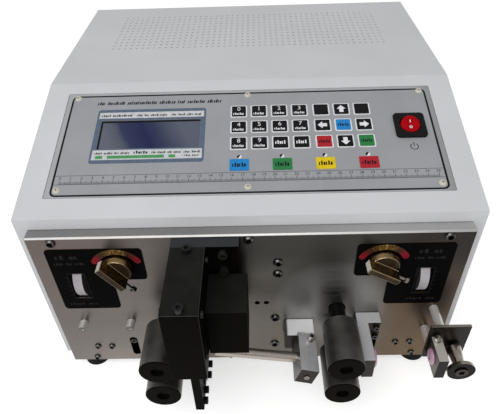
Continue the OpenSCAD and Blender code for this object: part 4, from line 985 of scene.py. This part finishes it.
SWITCH = (158.5, 101.0, FILM)
SIGN_ROW = 75.0
SIGN_R = 3.6
SIGN_LINE = 0.8
SIGN_BAR = (0.6, 5.0)
SIGN_ARC = (40, 320)
bm = bmesh.new()
x = SWITCH[0]
foot, top = (SIGN_ROW + end for end in SIGN_BAR)
prism(bm, arc_band(x, SIGN_ROW, SIGN_R, SIGN_LINE, *SIGN_ARC), *ON_FILM)
prism(bm, rect(x - SIGN_LINE / 2, foot, x + SIGN_LINE / 2, top), *ON_FILM)
piece("panel_power_sign", bm, PANEL, BLACK_INK)

# Signs on the two halves of the rocker

TIP = math.radians(9.0)
ROCKER_H = 3.0
ON_SIGN = (-0.42, 2.0, 0.42, 4.9)
OFF_SIGN = (0.0, -3.3, 3.0, 3.5, 1.4)
OFF_SIGN_HOLE = (0.0, -3.3, 1.6, 2.1, 0.75)
ROCKER = (PANEL @ Matrix.Translation(SWITCH) @ Matrix.Rotation(TIP, 4, "X")
          @ Matrix.Translation((0.0, 0.0, ROCKER_H)))
bm = bmesh.new()
prism(bm, rect(*ON_SIGN), -INK, INK)
piece("rocker_sign_on", bm, ROCKER @ Matrix.Rotation(TIP, 4, "X"), WHITE_INK, "power_rocker")
bm = bmesh.new()
ring(bm, rounded(*OFF_SIGN), rounded(*OFF_SIGN_HOLE), -INK, INK)
piece("rocker_sign_off", bm, ROCKER @ Matrix.Rotation(-TIP, 4, "X"), WHITE_INK, "power_rocker")

# Dial print: a band over each knob, faint strokes, dots and a line around the window

DIAL = 0.6
ON_DIAL = (DIAL, DIAL + INK)
# Band: radius, width and reach to each side in degrees; window: place, width and height
BAND = (22.2, 6.3, 62.0)
WINDOW = (163.0, 123.0, 15.5, 35.0)
DOTS_IN = 12.0
DASHES_OUT = 10.0
DIAL_MID = 165.0
# Strokes on a dial: from and to about its middle, foot, height, strokes in each word
DIAL_MARKS = (
    (-12.0, 10.0, 160.0, 5.0, (2, 2)),
    (-15.0, 14.0, 152.5, 3.2, (4, 2, 4)),
    (-14.0, 14.0, 96.0, 3.0, (5, 3)),
)
bands, faint = bmesh.new(), bmesh.new()
for side in (-1, 1):
    radius, wide, reach = BAND
    prism(bands, arc_band(side * BAND_CENTRE[0], BAND_CENTRE[1], radius, wide, -reach, reach), *ON_DIAL)
    x, z, w, h = WINDOW
    ring(faint, rounded(side * x, z, w + 1.4, h + 1.4, 0.6),
         rounded(side * x, z, w + 0.4, h + 0.4, 0.3), *ON_DIAL)
    for i in range(5):
        prism(faint, disc(side * (x - DOTS_IN), z + 10.0 - 5.0 * i, 1.0, 12), *ON_DIAL)
        dash, foot = side * (x + DASHES_OUT), z + 12.0 - 6.0 * i
        prism(faint, rect(dash - 1.6, foot, dash + 1.6, foot + 0.5), *ON_DIAL)
    for x0, x1, foot, tall, words in DIAL_MARKS:
        marks(faint, side * DIAL_MID + x0, side * DIAL_MID + x1, foot, tall, words, ON_DIAL)
piece("dial_bands", bands, PLATE, BAND_INK)
piece("dial_marks", faint, PLATE, FAINT_INK)

# Blades of the mains inlet and screws of the rear panel

REAR = flat_frame(Vector((0.0, 0.0, 0.0)), -RIGHT, UP, -FRONT)
inlet_low, inlet_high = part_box("power_inlet")
rear_low, rear_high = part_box("rear_panel")
inlet_mid = (inlet_low + inlet_high) / 2 / MM
BLADES = ((0.0, 3.5), (-6.5, -3.5), (6.5, -3.5))
BLADE_IN = (18.6, 6.0)
REAR_SCREW_IN = 14.0
REAR_SCREW = [(0.0, -0.2), (3.6, -0.2), (3.6, 0.7), (3.0, 1.5), (1.9, 2.0), (1.7, 1.1), (0.0, 1.1)]
bm = bmesh.new()
for across, up in BLADES:
    prism(bm, rounded(across - inlet_mid.x, inlet_mid.z + up, 2.2, 5.0, 0.4),
          inlet_high.y / MM - BLADE_IN[0], inlet_high.y / MM - BLADE_IN[1])
piece("inlet_blades", bm, REAR, LOOKS["nickel"].mat)

bm = bmesh.new()
for across in (-1, 0, 1):
    for height in (rear_low.z / MM + REAR_SCREW_IN, rear_high.z / MM - REAR_SCREW_IN):
        x = across * (rear_high.x / MM - REAR_SCREW_IN)
        lathe(bm, REAR_SCREW, Matrix.Translation((x, height, rear_high.y / MM)), 24)
piece("rear_screws", bm, REAR, LOOKS["nickel"].mat, smooth=40.0)


# Floor, light and camera

FLOOR_HALF = 4.0
FLOOR_GLOW = 0.5
WORLD_LEVEL = 0.52
CAMERA_PLACE = (10.5, -326.6, 495.2)
CAMERA_PITCH, CAMERA_YAW, CAMERA_ROLL = math.radians(40.33), math.radians(1.46), math.radians(2.1)
FOCAL_PIXELS = 515.1
PHOTO_PIXELS = 500.0


def stage_floor():
    """Pale floor that looks white and keeps the shadow."""
    bm = bmesh.new()
    bmesh.ops.create_grid(bm, x_segments=1, y_segments=1, size=FLOOR_HALF)
    mesh = bpy.data.meshes.new("floor")
    bm.to_mesh(mesh)
    bm.free()
    look = Look("floor", (231, 231, 231), 0.0, 0.9, 0.0)
    look.colour(look.ramp(look.noise(3.0), (0.3, (230, 230, 230)), (0.7, (232, 232, 232))))
    path = look.add("ShaderNodeLightPath")
    seen = look.math("MAXIMUM", path.outputs["Is Camera Ray"],
                     look.math("MAXIMUM", path.outputs["Is Glossy Ray"], path.outputs["Is Transmission Ray"]))
    look.bsdf.inputs["Emission Color"].default_value = (1.0, 1.0, 1.0, 1.0)
    look.feed(look.bsdf.inputs["Emission Strength"], look.math("MULTIPLY", seen, FLOOR_GLOW))
    mesh.materials.append(look.mat)
    floor = bpy.data.objects.new("floor", mesh)
    bpy.context.scene.collection.objects.link(floor)
    floor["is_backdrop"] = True


def stage_world():
    """Even white light, seen as full white."""
    world = bpy.data.worlds.new("studio")
    bpy.context.scene.world = world
    world.use_nodes = True
    tree = world.node_tree
    back = tree.nodes["Background"]
    back.inputs["Color"].default_value = (1.0, 1.0, 1.0, 1.0)
    path = tree.nodes.new("ShaderNodeLightPath")
    either = tree.nodes.new("ShaderNodeMath")
    either.operation = "MAXIMUM"
    tree.links.new(path.outputs["Is Camera Ray"], either.inputs[0])
    tree.links.new(path.outputs["Is Transmission Ray"], either.inputs[1])
    level = tree.nodes.new("ShaderNodeMapRange")
    tree.links.new(either.outputs[0], level.inputs[0])
    level.inputs[3].default_value = WORLD_LEVEL
    level.inputs[4].default_value = 1.0
    tree.links.new(level.outputs[0], back.inputs["Strength"])


def stage_lamp(name, place, target, size, power):
    """Soft rectangular lamp that looks at a target."""
    lamp = bpy.data.lights.new(name, "AREA")
    lamp.shape = "RECTANGLE"
    lamp.size, lamp.size_y = size
    lamp.energy = power
    holder = bpy.data.objects.new(name, lamp)
    holder.location = place
    holder.rotation_euler = (Vector(target) - Vector(place)).to_track_quat("-Z", "Y").to_euler()
    bpy.context.scene.collection.objects.link(holder)


def stage_camera():
    """Camera at the photo's place, from above and a little turned."""
    pitch, yaw, roll = CAMERA_PITCH, CAMERA_YAW, CAMERA_ROLL
    ahead = Vector((-math.sin(yaw) * math.cos(pitch), math.cos(yaw) * math.cos(pitch), -math.sin(pitch)))
    level = Vector((math.cos(yaw), math.sin(yaw), 0.0))
    above = level.cross(ahead)
    right = level * math.cos(roll) - above * math.sin(roll)
    up = level * math.sin(roll) + above * math.cos(roll)
    camera = bpy.data.cameras.new("camera")
    camera.sensor_width = 36.0
    camera.sensor_fit = "HORIZONTAL"
    camera.lens = FOCAL_PIXELS * camera.sensor_width / PHOTO_PIXELS
    camera.clip_start = 0.01
    holder = bpy.data.objects.new("camera", camera)
    turn = Matrix((right, up, -ahead)).transposed().to_4x4()
    holder.matrix_world = Matrix.Translation(at(*CAMERA_PLACE)) @ turn
    bpy.context.scene.collection.objects.link(holder)
    bpy.context.scene.camera = holder


stage_floor()
stage_world()
stage_lamp("key", (-0.45, -1.25, 1.6), (0.0, 0.0, 0.15), (1.6, 1.6), 22.0)
stage_camera()
bpy.context.scene.view_settings.view_transform = "Standard"

low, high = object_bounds()
